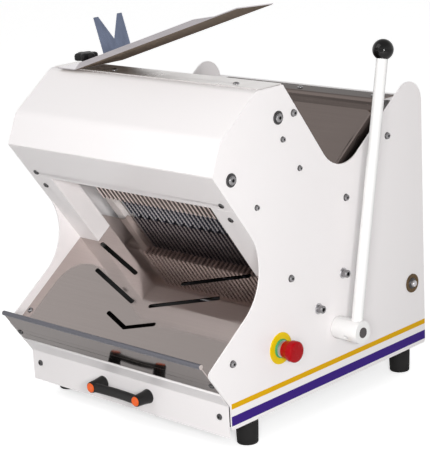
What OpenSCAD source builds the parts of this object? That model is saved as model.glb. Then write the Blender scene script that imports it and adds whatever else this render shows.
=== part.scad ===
// Table-top bread slicer with a sloping bread bed, two blade frames and a lever-driven pusher.
// The bed rises to the rear at bed_a. In the bed frame u runs up the slope and t stands square to it.

/* [Body] */
// Width over the side plates
body_w = 540; // [500:5:600]
// Thickness of a side plate
plate_t = 3; // [2:0.5:5]
// Depth from the lower front edge to the rear edge
body_d = 586; // [560:2:640]
// Height of the flat top above the head's lower front edge
top_h = 130; // [110:1:150]
// Thickness of the bent sheet panels
sheet_t = 2; // [1:0.5:3]
// Slope of the bread bed in degrees
bed_a = 36; // [35:0.5:37]
// Reach of the nose in front of the lower front edge
nose_reach = 55; // [45:1:65]
// Height of the nose corner above the lower edge
nose_h = 120; // [112:1:128]
// Width of the flange that carries the feet
flange_w = 50; // [46:1:60]

/* [Head] */
// Distance up the slope from the nose to the exit face
exit_u = 235; // [228:1:240]
// Thickness of the head along the slope
head_t = 233; // [225:1:250]
// Height of the exit above the bed edge line
exit_t = 171; // [165:1:176]
// Height of the head's lower front edge above the bed edge line
brow_t = 261; // [255:1:268]
// Width of the exit between the guards
exit_w = 424; // [410:2:436]
// Depth of the guard walls behind the exit face
guard_d = 42; // [30:1:44]

/* [Bed] */
// Depth of the tray and chute floor below the bed edge line
floor_d = 18; // [14:1:20]
// Height of the tray's front lip above the floor
lip_h = 46; // [30:1:60]
// Radius of the rolled edge on the lip
roll_r = 4.5; // [3:0.5:6]
// Width of a crumb slot
slot_w = 9; // [6:0.5:12]
// Slope of the crumb slots in degrees
slot_a = 20; // [12:1:28]
// Distance from the lip to the first slot's point
slot_u = 61; // [50:1:70]
// Spacing of the chevrons up the slope
slot_step = 49; // [40:1:52]
// Width of the chute floor
chute_w = 444; // [420:2:450]

/* [Blades] */
// Spacing of the blades
blade_pitch = 12; // [10:0.5:13]
// Number of blades in the front frame
blades_n = 15; // [11:2:15]
// Thickness of a blade
blade_t = 1; // [0.6:0.1:1.5]
// Width of a blade
blade_w = 8; // [6:0.5:9]
// Half of the stroke of a blade frame
stroke = 10; // [6:1:10]
// Distance up the slope from the exit face to the middle between the frames
saw_u = 85; // [83:0.5:87]
// Running gap between the frames' tongues and their guides
guide_gap = 0.3; // [0.2:0.05:0.5]

/* [Drive] */
// Radius of the motor body
motor_r = 62; // [50:1:66]
// Length of the motor body
motor_l = 200; // [160:5:220]
// Radius of the crank pulley
pulley_r = 48; // [40:1:52]
// Radius of the motor pulley
pinion_r = 24; // [20:1:30]
// Width of a pulley
pulley_w = 20; // [16:1:24]
// Radius of the crankshaft and the motor shaft
drive_r = 10; // [8:0.5:12]
// Throw of an eccentric
throw = 10; // [6:1:10]
// Radius of an eccentric
ecc_r = 18; // [17:0.5:20]

/* [Lever] */
// Distance of the lever shaft behind the lower front edge
lever_back = 307; // [303:1:311]
// Height of the lever shaft above the lower edge
lever_z = 110; // [108:1:114]
// Radius of the lever and pusher shafts
shaft_r = 10; // [8:0.5:11]
// Running gap of a shaft in its bush
run_gap = 0.05; // [0.02:0.01:0.1]
// Radius of the lever hub
hub_r = 22; // [20:0.5:25]
// Length of the lever hub
hub_l = 60; // [50:1:70]
// Radius of the lever tube
tube_r = 11; // [8:0.5:12]
// Distance from the shaft to the middle of the ball
lever_l = 530; // [480:5:580]
// Radius of the ball
ball_r = 20; // [16:0.5:24]
// Lean of the lever to the rear in degrees
lever_a = 11.2; // [8:0.1:14]
// Distance from the lever shaft to the rod pin
crank_l = 70; // [60:1:74]
// Radius of a rod pin
pin_r = 5; // [4:0.5:6]

/* [Pusher] */
// Distance of the pusher shaft behind the lower front edge
pivot_back = 544; // [540:1:548]
// Height of the pusher shaft above the lower edge
pivot_z = 136; // [132:1:140]
// Reach of a pusher arm above the chute floor
arm_l = 67; // [60:1:72]
// Lean of the pusher arms past square to the bed in degrees
arm_a = 14; // [12:0.5:15]
// Height of the pusher plate
push_h = 120; // [90:5:125]
// Width of the pusher plate
push_w = 376; // [340:4:390]

/* [Drawer] */
// Length of the drawer pan
pan_l = 290; // [240:5:320]
// Depth of the drawer pan
pan_h = 60; // [45:1:64]
// Wall of the drawer pan
pan_t = 1.5; // [1:0.5:2.5]
// Drop of the drawer front below the plates
drop_h = 15; // [8:1:24]
// Spacing of the handle's ends
grip_w = 122; // [96:1:160]
// Height of the handle above the plates' lower edge
grip_z = 20; // [14:1:26]
// Reach of the handle in front of the drawer
grip_d = 34; // [28:1:44]

/* [Stop button] */
// Distance of the stop button behind the lower front edge
stop_back = 140; // [130:1:160]
// Height of the stop button above the lower edge
stop_z = 116; // [112:1:124]
// Radius of the yellow disc
disc_r = 30; // [26:0.5:34]
// Radius of the red head
head_r = 20; // [17:0.5:24]
// Travel of the red head
press = 5; // [3:0.5:5]

/* [Scoop] */
// Length of the scoop along its slope
scoop_l = 456; // [400:2:470]
// Width of the scoop
scoop_w = 128; // [110:2:136]
// Slope of the scoop in degrees
scoop_a = 18; // [12:0.5:24]
// Height of the scoop's side flanges
scoop_h = 10; // [8:1:20]
// Height of the fork's prongs above the scoop
fork_h = 82; // [60:1:100]
// Width over the fork's prongs
fork_w = 74; // [60:1:90]
// Radius of the clamp knob
knob_r = 24; // [18:0.5:26]

/* [Feet] */
// Height of a foot
foot_h = 50; // [40:1:70]
// Radius of a foot
foot_r = 22; // [16:0.5:22]

/* [Hidden] */
$fn = 48;

white = [0.97, 0.97, 0.96];
steel = [0.62, 0.60, 0.58];
dark_steel = [0.42, 0.40, 0.39];
zinc = [0.75, 0.76, 0.78];
black = [0.13, 0.12, 0.12];
grey = [0.45, 0.47, 0.50];

// Ends that set the middle of the overall box
plug_h = 2;
cap_h = 3;
cap_bolt_h = 7;
gland_l = 16;
floor_t = -floor_d;
lip_t = floor_t + lip_h;

// Places across the machine
x_out = body_w / 2;
x_in = x_out - plate_t;
x_mid = (hub_l + plug_h - cap_h - cap_bolt_h) / 2;
arm_x = x_in - 39;
arm_w = 8;
rod_w = 6;
rod_x = arm_x + arm_w + 2;
crank_x = rod_x + rod_w + 2;
crank_w = 8;
lever_x = x_out + 44;

// Places along the machine
front_y = 2;
rear_y = front_y + body_d;
lever_y = front_y + lever_back;
pivot_y = front_y + pivot_back;
stop_y = front_y + stop_back;
nose_y = front_y - nose_reach;
y_mid = (bed_y(roll_r / 2, lip_t - roll_r) - roll_r + rear_y + gland_l) / 2;

// Places in the bed frame
v_u = exit_u + head_t;
brow = bed(exit_u, brow_t);
roof_z = brow[1] + top_h;
roof_t = (roof_z - bed_z(v_u, 0)) / cos(bed_a);
v_top = bed_y(v_u, roof_t);
top_z = roof_z + sheet_t;
roof_d = 62;
saw_m = exit_u + saw_u;
frame_w = 12;
frame_gap = 4;
frame_u0 = saw_m - frame_gap / 2 - frame_w;
frame_u1 = saw_m + frame_gap / 2;
blade_out = frame_gap - 1;
blade_u0 = frame_u0 + frame_w + blade_out - blade_w;
blade_u1 = frame_u1 - blade_out;
bar_h = 20;
bar_t0 = floor_t - sheet_t - stroke - 12 - bar_h;
bar_t1 = exit_t + stroke + 13;
frame_x0 = (blades_n + 1) * blade_pitch;
frame_x1 = frame_x0 + 22;
tongue_x = x_in - 19;
tongue_w = 6;
guide_t0 = exit_t - 79;
guide_t1 = exit_t + 17;
apron_t = -53;
seam = 1;
tray_u1 = frame_u0 - 6;
chute_u0 = frame_u1 + frame_w + 4;
rim_l = 50;
rim_gap = 22;
chute_y1 = rear_y - rim_gap - rim_l;
chute_u1 = (chute_y1 - nose_y + floor_t * sin(bed_a)) / cos(bed_a);
chute_z = bed_z(chute_u1, floor_t);
skirt_h = 30;
skirt_r = 14;
comb_u0 = exit_u + guard_d + 3;
comb_u1 = frame_u0 - 3;

// Drive
yoke_w = 8;
yoke_x = 92;
win_u = ecc_r + throw + 1;
win_t = win_u + stroke;
yoke_wall = 9;
crank_t = bar_t0 - 2 * stroke - 1 - yoke_wall - win_t;
crank_y = bed_y(saw_m, crank_t);
crank_z = bed_z(saw_m, crank_t);
shelf_z = lever_z + 30;
shelf_t = 3;
shelf_y0 = lever_y + 38;
shelf_y1 = pivot_y - 41;
motor_y = (shelf_y0 + shelf_y1) / 2 + 14;
motor_z = shelf_z + shelf_t + motor_r + 8;
motor_x0 = -110;
pulley_x = -170;
bearing_x = 118;
bearing_w = 18;

// Shafts
pivot_u = (pivot_y - nose_y) * cos(bed_a) + (pivot_z - nose_h) * sin(bed_a);
pivot_t = (pivot_z - nose_h) * cos(bed_a) - (pivot_y - nose_y) * sin(bed_a);
arm_r = (floor_t + arm_l - pivot_t) / cos(arm_a);
bush_r = shaft_r + 4;
flange_r = bush_r + 5;
pin_a = bed_a;
cap_r = 19;

// Drawer
pan_z = 8;
pan_x = x_in - 15;
front_t = 2;
face_y = front_y - 1 - front_t;
post_r = 11;
grip_t = 12;

// Stop button
collar_h = 12;
stem_r = 7;
head_x = x_out + sheet_t + collar_h + press + 1;
head_h = 20;

// Scoop
scoop_x = 77 - x_in;
scoop_y = v_top - 80;
scoop_z = top_z + 0.3;
knob_x = scoop_x - 22;
knob_y = v_top - 27;
fork_at = 63;
stud_r = 4;

gland_x = 67 - x_in;
gland_z = 70;

foot_y = [front_y + 68, rear_y - 54];
top_screw_x = [147 - x_in, x_in - 72];
top_screw_y = v_top - 40;
rim_screw_x = [32 - chute_w / 2, 0, chute_w / 2 - 32];
rim_screw_y = chute_y1 + rim_l / 2;
guard_screw_x = x_in - (x_in - exit_w / 2) * 0.38;
// Side bolts: place in the bed frame and radius of the head
bolts = [
    [55, floor_t - 17, 6], [exit_u + 23, floor_t - 21, 6], [v_u - 7, floor_t - 24, 6],
    [chute_u1 - 68, floor_t - 25, 6], [saw_m - 41, exit_t - 37, 4.5], [saw_m + 85, exit_t + 6, 4.5],
    [saw_m + 84, exit_t - 69, 4.5], [v_u - 12, roof_t - 60, 6]
];
tie_at = [[exit_u + 30, brow_t - 39], [v_u - 47, roof_t - 36]];
stop_at = [[lever_y + 20.2, lever_z + 102.2], [lever_y - 55.7, lever_z + 51.7]];
stop_r = 5;
bolt_r = 4;
tie_r = 8;

// A point of the bed frame in the machine frame
function bed_y(u, t) = nose_y + u * cos(bed_a) - t * sin(bed_a);
function bed_z(u, t) = nose_h + u * sin(bed_a) + t * cos(bed_a);
function bed(u, t) = [bed_y(u, t), bed_z(u, t)];
// A point at a distance from a centre, leaning to the rear by an angle
function leaned(y, z, d, a) = [y + d * sin(a), z + d * cos(a)];

// Round corners: each point is [y, z, radius]
function unit(v) = v / norm(v);
function flat(p) = [p[0], p[1]];
function arc_at(a, b, c) =
    let (p = unit(flat(a) - flat(b)), q = unit(flat(c) - flat(b)), w = acos(p * q), r = b[2])
    let (m = flat(b) + unit(p + q) * r / sin(w / 2), s = flat(b) + p * r / tan(w / 2) - m)
    let (e = flat(b) + q * r / tan(w / 2) - m, g = atan2(s[1], s[0]), h = atan2(e[1], e[0]))
    let (d = h - g, k = d > 180 ? d - 360 : d < -180 ? d + 360 : d, n = max(3, ceil(abs(k) / 7)))
    [for (i = [0:n]) m + r * [cos(g + k * i / n), sin(g + k * i / n)]];
function joined(lists) = [for (l = lists) for (p = l) p];
function rounded(p) =
    let (n = len(p))
    joined([for (i = [0:n - 1]) p[i][2] > 0 ? arc_at(p[(i + n - 1) % n], p[i], p[(i + 1) % n]) : [flat(p[i])]]);
function rounded_run(p) =
    let (n = len(p))
    joined([for (i = [0:n - 1])
        i > 0 && i < n - 1 && p[i][2] > 0 ? arc_at(p[i - 1], p[i], p[i + 1]) : [flat(p[i])]]);
function side(v) = [-v[1], v[0]];
function turn(a, b) = a[0] * b[1] - a[1] * b[0];
function shifted(p, d) =
    let (n = len(p))
    [for (i = [0:n - 1])
        let (a = unit(flat(p[max(i, 1)]) - flat(p[max(i, 1) - 1])))
        let (b = unit(flat(p[min(i, n - 2) + 1]) - flat(p[min(i, n - 2)])))
        let (m = (side(a) + side(b)) * d / (1 + a * b), q = flat(p[i]) + m)
        [q[0], q[1], max(0.1, p[i][2] - d * sign(turn(a, b)))]];
function backward(p) = [for (i = [len(p) - 1:-1:0]) p[i]];
function strip(p, d) = concat(rounded_run(p), backward(rounded_run(shifted(p, d))));

cover_y = v_top - roof_d - 9;
cover_run = [
    [brow[0], brow[1], 0], [brow[0] + (cover_y - brow[0]) * 0.2, brow[1] + top_h * 0.445, 40],
    [cover_y, roof_z, 25], [v_top - 34, roof_z, 0]
];
nose_t = (nose_y - front_y) / sin(bed_a);
peak_z = nose_h + (rear_y - nose_y) * tan(bed_a);
plate_edge = [
    [front_y, 0, 4], [front_y, bed_z(0, nose_t), 10], [nose_y, nose_h, 9],
    [bed_y(exit_u, 0), bed_z(exit_u, 0), 105], [brow[0], brow[1], 4], cover_run[1], cover_run[2],
    [v_top, roof_z, 4], [bed_y(v_u, 0), bed_z(v_u, 0), 71], [rear_y, peak_z, 43], [rear_y, 0, 6]
];

module placed() {
    translate([-x_mid, -y_mid, foot_h]) children();
}

module in_bed() {
    placed() translate([0, nose_y, nose_h]) rotate([bed_a, 0, 0]) children();
}

module box(x, y, z) {
    translate([x[0], y[0], z[0]]) cube([x[1] - x[0], y[1] - y[0], z[1] - z[0]]);
}

// Extrude a drawing of the side view along X
module profile(x0, x1) {
    translate([x0, 0, 0]) rotate([90, 0, 90]) linear_extrude(x1 - x0) children();
}

// A round bar along X at a side-view point
module rod(p, x0, x1, r) {
    translate([x0, p[0], p[1]]) rotate([0, 90, 0]) cylinder(h = x1 - x0, r = r);
}

module hex_rod(p, x0, x1, r) {
    translate([x0, p[0], p[1]]) rotate([0, 90, 0]) cylinder(h = x1 - x0, r = r, $fn = 6);
}

module both_sides() {
    children();
    mirror([1, 0, 0]) children();
}

// Right side plate with its foot flange; the left one is its mirror apart from the stop button
module plate_body() {
    difference() {
        union() {
            profile(x_in, x_out) polygon(rounded(plate_edge));
            box([x_out - flange_w, x_in], [front_y + 12, rear_y - 12], [0, plate_t]);
        }
        for (b = bolts) rod(bed(b[0], b[1]), x_in - 1, x_out + 1, bolt_r);
        for (b = tie_at) rod(bed(b[0], b[1]), x_in - 1, x_out + 1, bolt_r);
        rod([lever_y, lever_z], x_in - 1, x_out + 1, bush_r);
        rod([pivot_y, pivot_z], x_in - 1, x_out + 1, bush_r);
        for (y = foot_y) translate([foot_x(), y, -1]) cylinder(h = plate_t + 2, r = bolt_r);
    }
}

function foot_x() = x_out - flange_w + foot_r + 2;

module side_plate_right() {
    color(white) placed() difference() {
        plate_body();
        for (p = stop_at) rod(p, x_in - 1, x_out + 1, stop_r);
        rod([stop_y, stop_z], x_in - 1, x_out + 1, stem_r + 2);
    }
}

module side_plate_left() {
    color(white) placed() mirror([1, 0, 0]) plate_body();
}

module front_cover() {
    color(white) placed() difference() {
        profile(-x_in, x_in) polygon(strip(cover_run, -sheet_t));
        for (x = top_screw_x) translate([x, top_screw_y, roof_z - 5]) cylinder(h = 9, r = bolt_r - 1);
    }
}

// Panel between the brow and the exit, with a stiffening fold along the exit
module exit_panel() {
    color(white) in_bed() difference() {
        union() {
            box([-x_in, x_in], [exit_u, exit_u + sheet_t], [exit_t, brow_t - sheet_t]);
            box([-exit_w / 2, exit_w / 2], [exit_u, exit_u + guard_d], [exit_t, exit_t + sheet_t]);
        }
        both_sides() face_hole(guard_screw_x, exit_t + 13);
    }
}

module face_hole(x, t) {
    translate([x, exit_u - 1, t]) rotate([-90, 0, 0]) cylinder(h = sheet_t + 2, r = bolt_r - 1);
}

module guard_body() {
    difference() {
        union() {
            box([exit_w / 2, x_in], [exit_u, exit_u + sheet_t], [floor_t, exit_t]);
            box([exit_w / 2, exit_w / 2 + sheet_t], [exit_u, exit_u + guard_d], [floor_t, exit_t]);
        }
        face_hole(guard_screw_x, exit_t - 25);
    }
}

module exit_guard_right() {
    color(white) in_bed() guard_body();
}

module exit_guard_left() {
    color(white) in_bed() mirror([1, 0, 0]) guard_body();
}

module top_plate() {
    color(steel) placed() difference() {
        union() {
            box([-x_in, x_in], [v_top - roof_d, v_top], [roof_z, top_z]);
            box([-x_in, x_in], [v_top - sheet_t - 1, v_top - 1], [top_z - 18, top_z - 1]);
        }
        translate([knob_x, knob_y, top_z - sheet_t - 1]) cylinder(h = sheet_t + 2, r = stud_r + run_gap);
        for (x = top_screw_x) translate([x, top_screw_y, top_z - 5]) cylinder(h = 9, r = bolt_r - 1);
    }
}

// Closes the head above the bread path on the infeed side
module head_rear_panel() {
    color(white) in_bed() box([-x_in, x_in], [v_u - 3 - sheet_t, v_u - 3], [exit_t + 5, roof_t - 29]);
}

// Chute floor folded down into skirts at its sides, with a level rim at its upper end
module infeed_chute() {
    w = chute_w / 2;
    plain = 30;
    low = bed(chute_u1 - plain - 1, floor_t);
    run = [[low[0], low[1], 0], [chute_y1, chute_z, 12], [chute_y1 + rim_l, chute_z, 0]];
    fold = [
        [w, floor_t - skirt_h, 0], [w, floor_t, skirt_r], [-w, floor_t, skirt_r], [-w, floor_t - skirt_h, 0]
    ];
    color(dark_steel) {
        in_bed() translate([0, chute_u1 - plain, 0]) rotate([90, 0, 0])
            linear_extrude(chute_u1 - plain - chute_u0) polygon(strip(fold, sheet_t));
        in_bed() box([-frame_x0 + 4, frame_x0 - 4], [blade_u1 + blade_w + 3, chute_u0 + 1],
            [floor_t - sheet_t, floor_t]);
        placed() difference() {
            profile(-w, w) polygon(strip(run, -sheet_t));
            for (x = rim_screw_x) translate([x, rim_screw_y, chute_z - 5]) cylinder(h = 9, r = bolt_r - 1);
        }
    }
}

// Bar from plate to plate that carries the lower end of the chute
module chute_crossbar() {
    u = [chute_u0 + 3, chute_u0 + 23];
    w = chute_w / 2 - skirt_r - sheet_t;
    color(zinc) in_bed() {
        box([-x_in, x_in], u, [floor_t - skirt_h - 16, floor_t - skirt_h]);
        box([-w, w], u, [floor_t - skirt_h - 1, floor_t - sheet_t]);
    }
}

module rear_cover() {
    flange_z = chute_z - sheet_t;
    color(white) placed() difference() {
        union() {
            box([-x_in, x_in], [rear_y - 4, rear_y - 4 + sheet_t], [plate_t, flange_z]);
            box([-x_in, x_in], [chute_y1 + 14, rear_y - 3], [flange_z - sheet_t, flange_z]);
            box([-x_in, x_in], [rear_y - 30, rear_y - 3], [plate_t, plate_t + sheet_t]);
        }
        for (x = rim_screw_x) translate([x, rim_screw_y, flange_z - 5]) cylinder(h = 9, r = bolt_r - 1);
        for (x = [-120:40:120], z = [200, 250]) box([x - 14, x + 14], [rear_y - 6, rear_y], [z, z + 6]);
        translate([gland_x, rear_y - 10, gland_z]) rotate([-90, 0, 0]) cylinder(h = 20, r = 8);
    }
}

// A slot with round ends from one point of the floor to another
module floor_slot(a, b) {
    d = b - a;
    translate([a[0], a[1], floor_t - sheet_t - 1]) rotate([0, 0, atan2(d[1], d[0])]) {
        translate([0, -slot_w / 2, 0]) cube([norm(d), slot_w, sheet_t + 2]);
        cylinder(h = sheet_t + 2, r = slot_w / 2);
        translate([norm(d), 0, 0]) cylinder(h = sheet_t + 2, r = slot_w / 2);
    }
}

slot_x = [[0, 61], [25, 163], [64, 198]];
function slot_point(i, x) = [x, slot_u + i * slot_step + x * tan(slot_a)];

// Tray floor with nested chevrons of crumb slots, side flanges and a rolled lip
module outfeed_tray() {
    color(steel) in_bed() difference() {
        union() {
            box([-x_in, x_in], [0, tray_u1], [floor_t - sheet_t, floor_t]);
            box([-frame_x0 + 4, frame_x0 - 4], [tray_u1 - 1, blade_u0 - 3], [floor_t - sheet_t, floor_t]);
            box([-x_in, x_in], [0, sheet_t], [floor_t - sheet_t, lip_t - roll_r]);
            translate([-x_in, roll_r / 2, lip_t - roll_r]) rotate([0, 90, 0]) cylinder(h = 2 * x_in, r = roll_r);
            both_sides() box([x_in - sheet_t, x_in], [10, tray_u1], [floor_t - 34, floor_t - 1]);
        }
        both_sides() for (i = [0:2]) floor_slot(slot_point(i, slot_x[i][0]), slot_point(i, slot_x[i][1]));
        both_sides() for (i = [0, 1])
            translate([x_in - 9, bolts[i][0], bolts[i][1]]) rotate([0, 90, 0]) cylinder(h = 12, r = bolt_r);
        both_sides() translate([x_in - 10, 45, floor_t - 4]) cylinder(h = 8, r = bolt_r - 1);
    }
}

module front_apron() {
    color(steel) in_bed() difference() {
        box([-x_in, x_in], [0, sheet_t], [apron_t, floor_t - sheet_t]);
        both_sides() translate([x_in - 8, -1, floor_t - 15]) rotate([-90, 0, 0]) cylinder(h = 9, r = bolt_r - 1);
    }
}

// Fingers that strip the slices off the blades, hung from a bar between the plates
module stripper_comb() {
    fin_t = exit_t - 104;
    color(zinc) in_bed() {
        box([-x_in + plate_t, x_in - plate_t], [comb_u0, comb_u1], [exit_t, exit_t + 15]);
        for (i = [-blades_n:blades_n - 1])
            box([(i + 0.3) * blade_pitch, (i + 0.7) * blade_pitch], [comb_u0 + 4, comb_u1], [fin_t, exit_t + 1]);
    }
}

module tie_bars() {
    color(zinc) placed() for (b = tie_at) {
        p = bed(b[0], b[1]);
        rod(p, -x_in, x_in, tie_r);
        both_sides() {
            rod(p, x_in - 1, x_out + 1, bolt_r);
            rod(p, x_out, x_out + 2, 12.5);
            rod(p, x_out + 2, x_out + 6, 8);
        }
    }
}

module side_bolt(p, r) {
    rod(p, x_in - 8, x_out + 1, bolt_r);
    rod(p, x_out, x_out + 1, r + 1);
    rod(p, x_out + 1, x_out + 5, r);
}

// A flat washer and nut on the inner face, past any bracket that the bolt holds
module side_nut(p, skip) {
    hex_rod(p, x_in - skip - 4, x_in - skip, 7);
}

function held(i) = i < 2 ? sheet_t : i > 3 && i < 7 ? plate_t : 0;

module bolt_set() {
    for (i = [0:len(bolts) - 1]) {
        side_bolt(bed(bolts[i][0], bolts[i][1]), bolts[i][2]);
        side_nut(bed(bolts[i][0], bolts[i][1]), held(i));
    }
}

module side_bolts_right() {
    color(zinc) placed() bolt_set();
}

module side_bolts_left() {
    color(zinc) placed() mirror([1, 0, 0]) bolt_set();
}

// Two bolts that stop the lever crank at the ends of its swing
module stop_bolts() {
    color(zinc) placed() for (p = stop_at) {
        rod(p, crank_x - 1, x_out + 2, stop_r);
        rod(p, x_out, x_out + 2, 10.5);
        rod(p, x_out + 1, x_out + 13, 7.5);
        rod(p, x_in - 3, x_in, 9);
    }
}

// Blocks with two grooves each, in which the frames' tongues run
module guide_body() {
    difference() {
        union() {
            box([x_in - plate_t, x_in], [saw_m - 50, saw_m + 92], [guide_t0, guide_t1]);
            box([frame_x1 + 8, x_in - plate_t], [saw_m - 17, saw_m + 17], [guide_t0, guide_t1]);
        }
        for (u = [frame_u0, frame_u1]) {
            c = u + frame_w / 2;
            w = tongue_w / 2 + guide_gap;
            box([frame_x1, tongue_x + 2], [c - w, c + w], [guide_t0 - 1, guide_t1 + 1]);
        }
        for (i = [4:6]) translate([x_in - 9, bolts[i][0], bolts[i][1]]) rotate([0, 90, 0])
            cylinder(h = 12, r = bolt_r);
    }
}

module blade_guides() {
    color(grey) in_bed() both_sides() guide_body();
}

// A frame with its tongues and the yoke that the eccentric drives
module frame_body(u, yoke_side) {
    c = u + frame_w / 2;
    y0 = yoke_side > 0 ? yoke_x : -yoke_x - yoke_w;
    color(zinc) in_bed() difference() {
        union() {
            both_sides() box([frame_x0, frame_x1], [u, u + frame_w], [bar_t0, bar_t1 + bar_h]);
            box([-frame_x1, frame_x1], [u, u + frame_w], [bar_t0, bar_t0 + bar_h]);
            box([-frame_x1, frame_x1], [u, u + frame_w], [bar_t1, bar_t1 + bar_h]);
            both_sides() box([frame_x1 - 1, tongue_x], [c - tongue_w / 2, c + tongue_w / 2],
                [guide_t0 - stroke - 2, guide_t1 + stroke + 2]);
            box([y0, y0 + yoke_w], [u, u + frame_w], [crank_t + win_t, bar_t0 + 1]);
            box([y0, y0 + yoke_w], [saw_m - win_u - yoke_wall, saw_m + win_u + yoke_wall],
                [crank_t - win_t - yoke_wall, crank_t + win_t + yoke_wall]);
        }
        box([y0 - 1, y0 + yoke_w + 1], [saw_m - win_u, saw_m + win_u], [crank_t - win_t, crank_t + win_t]);
    }
}

// Blades of one frame; clear of the other frame's bars they reach forward to one cutting plane
module blade_row(u, first) {
    clear_t = 2 * stroke + 3;
    color([0.5, 0.5, 0.53]) in_bed() for (i = [-first:2:first]) {
        x = [i * blade_pitch - blade_t / 2, i * blade_pitch + blade_t / 2];
        box(x, [u, u + blade_w], [bar_t0 + bar_h, bar_t1]);
        box(x, [blade_u0, u + blade_w], [bar_t0 + bar_h + clear_t, bar_t1 - clear_t]);
    }
}

module blade_frame_front() {
    frame_body(frame_u0, -1);
}

module blades_front() {
    blade_row(blade_u0, blades_n - 1);
}

module blade_frame_rear() {
    frame_body(frame_u1, 1);
}

module blades_rear() {
    blade_row(blade_u1, blades_n);
}

module motor() {
    c = [motor_y, motor_z];
    x1 = motor_x0 + motor_l;
    color(grey) placed() difference() {
        union() {
            rod(c, motor_x0, x1, motor_r);
            for (x = [motor_x0 + 30:14:x1 - 30]) rod(c, x, x + 5, motor_r + 3);
            box([motor_x0 + 30, x1 - 30], [motor_y - motor_r, motor_y + motor_r],
                [shelf_z + shelf_t, shelf_z + shelf_t + 10]);
            box([motor_x0 + 60, x1 - 60], [motor_y - 16, motor_y + 16], [shelf_z + shelf_t, motor_z]);
            box([motor_x0 + 60, x1 - 60], [motor_y - 30, motor_y + 30], [motor_z, motor_z + motor_r + 24]);
        }
        rod(c, motor_x0 - 1, motor_x0 + 40, drive_r + run_gap);
    }
}

// Shelf between the plates with two arms that carry the crankshaft's bearings
module motor_shelf() {
    color(grey) placed() {
        box([-x_in, x_in], [shelf_y0, shelf_y1], [shelf_z, shelf_z + shelf_t]);
        box([-x_in, x_in], [shelf_y1 - shelf_t, shelf_y1], [shelf_z - 16, shelf_z + 1]);
        both_sides() box([bearing_x - 6, bearing_x + bearing_w + 6], [crank_y - 28, shelf_y0 + 1],
            [shelf_z, shelf_z + shelf_t + 3]);
    }
}

// A grooved wheel for a flat belt
module belt_wheel(c, r) {
    x = [pulley_x, pulley_x + pulley_w];
    rod(c, x[0], x[1], r);
    rod(c, x[0], x[0] + 3, r + 4);
    rod(c, x[1] - 3, x[1], r + 4);
}

module motor_pulley() {
    c = [motor_y, motor_z];
    color(black) placed() {
        belt_wheel(c, pinion_r);
        rod(c, pulley_x, motor_x0 + 30, drive_r);
    }
}

module crank_pulley() {
    c = [crank_y, crank_z];
    color(black) placed() difference() {
        belt_wheel(c, pulley_r);
        rod(c, pulley_x - 1, pulley_x + pulley_w + 1, drive_r);
    }
}

// Outline round both wheels at a distance from their rims
module belt_outline(d) {
    a = [crank_y, crank_z];
    b = [motor_y, motor_z];
    r1 = pulley_r + d;
    r2 = pinion_r + d;
    g = atan2(b[1] - a[1], b[0] - a[0]);
    k = acos((r1 - r2) / norm(b - a));
    polygon(concat(
        [for (i = [0:24]) a + r1 * [cos(g + k + (360 - 2 * k) * i / 24), sin(g + k + (360 - 2 * k) * i / 24)]],
        [for (i = [0:16]) b + r2 * [cos(g - k + 2 * k * i / 16), sin(g - k + 2 * k * i / 16)]]));
}

module drive_belt() {
    belt_gap = 0.6;
    color(black) placed() profile(pulley_x + 4, pulley_x + pulley_w - 4) difference() {
        belt_outline(belt_gap + 2.5);
        belt_outline(belt_gap);
    }
}

module crankshaft() {
    c = [crank_y, crank_z];
    up = [-sin(bed_a), cos(bed_a)];
    color(zinc) placed() {
        rod(c, pulley_x, bearing_x + bearing_w + 8, drive_r);
        rod(c + throw * up, -yoke_x - yoke_w, -yoke_x, ecc_r);
        rod(c - throw * up, yoke_x, yoke_x + yoke_w, ecc_r);
    }
}

module bearing_blocks() {
    z0 = shelf_z + shelf_t + 3;
    color(grey) placed() both_sides() difference() {
        union() {
            box([bearing_x, bearing_x + bearing_w], [crank_y - 20, crank_y + 20], [z0, crank_z]);
            rod([crank_y, crank_z], bearing_x, bearing_x + bearing_w, 20);
            box([bearing_x, bearing_x + bearing_w], [crank_y - 27, crank_y + 40], [z0, z0 + 8]);
        }
        rod([crank_y, crank_z], bearing_x - 1, bearing_x + bearing_w + 1, drive_r + run_gap);
    }
}

module lever_shaft() {
    color(zinc) placed() rod([lever_y, lever_z], -x_out + 1, x_out + hub_l - 6, shaft_r);
}

// Everything on the lever is drawn in a frame whose Z runs up the lever
module on_lever() {
    placed() translate([lever_x, lever_y, lever_z]) rotate([-lever_a, 0, 0]) children();
}

module lever_hub() {
    c = [lever_y, lever_z];
    color(white) difference() {
        placed() rod(c, x_out + 0.8, x_out + hub_l, hub_r);
        placed() rod(c, x_out, x_out + hub_l - 6, shaft_r);
        placed() rod(c, x_out + hub_l - 6, x_out + hub_l + 1, shaft_r);
        on_lever() cylinder(h = hub_r + 2, r = tube_r);
        placed() translate([x_out + 34, lever_y, lever_z]) rotate([115, 0, 0]) translate([0, 0, shaft_r + 1])
            cylinder(h = hub_r, r = 5);
    }
}

module lever_tube() {
    color(white) difference() {
        on_lever() cylinder(h = lever_l - 6, r = tube_r);
        placed() rod([lever_y, lever_z], x_out, x_out + hub_l, shaft_r);
        placed() rod([lever_y, lever_z], x_out + hub_l - 6, x_out + hub_l + 1, shaft_r);
    }
}

module lever_ball() {
    color(black) on_lever() difference() {
        translate([0, 0, lever_l]) sphere(r = ball_r);
        translate([0, 0, lever_l - ball_r - 6]) cylinder(h = ball_r, r = tube_r);
    }
}

module hub_plug() {
    color(black) placed() rod([lever_y, lever_z], x_out + hub_l - 6, x_out + hub_l + plug_h, shaft_r);
}

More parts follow.
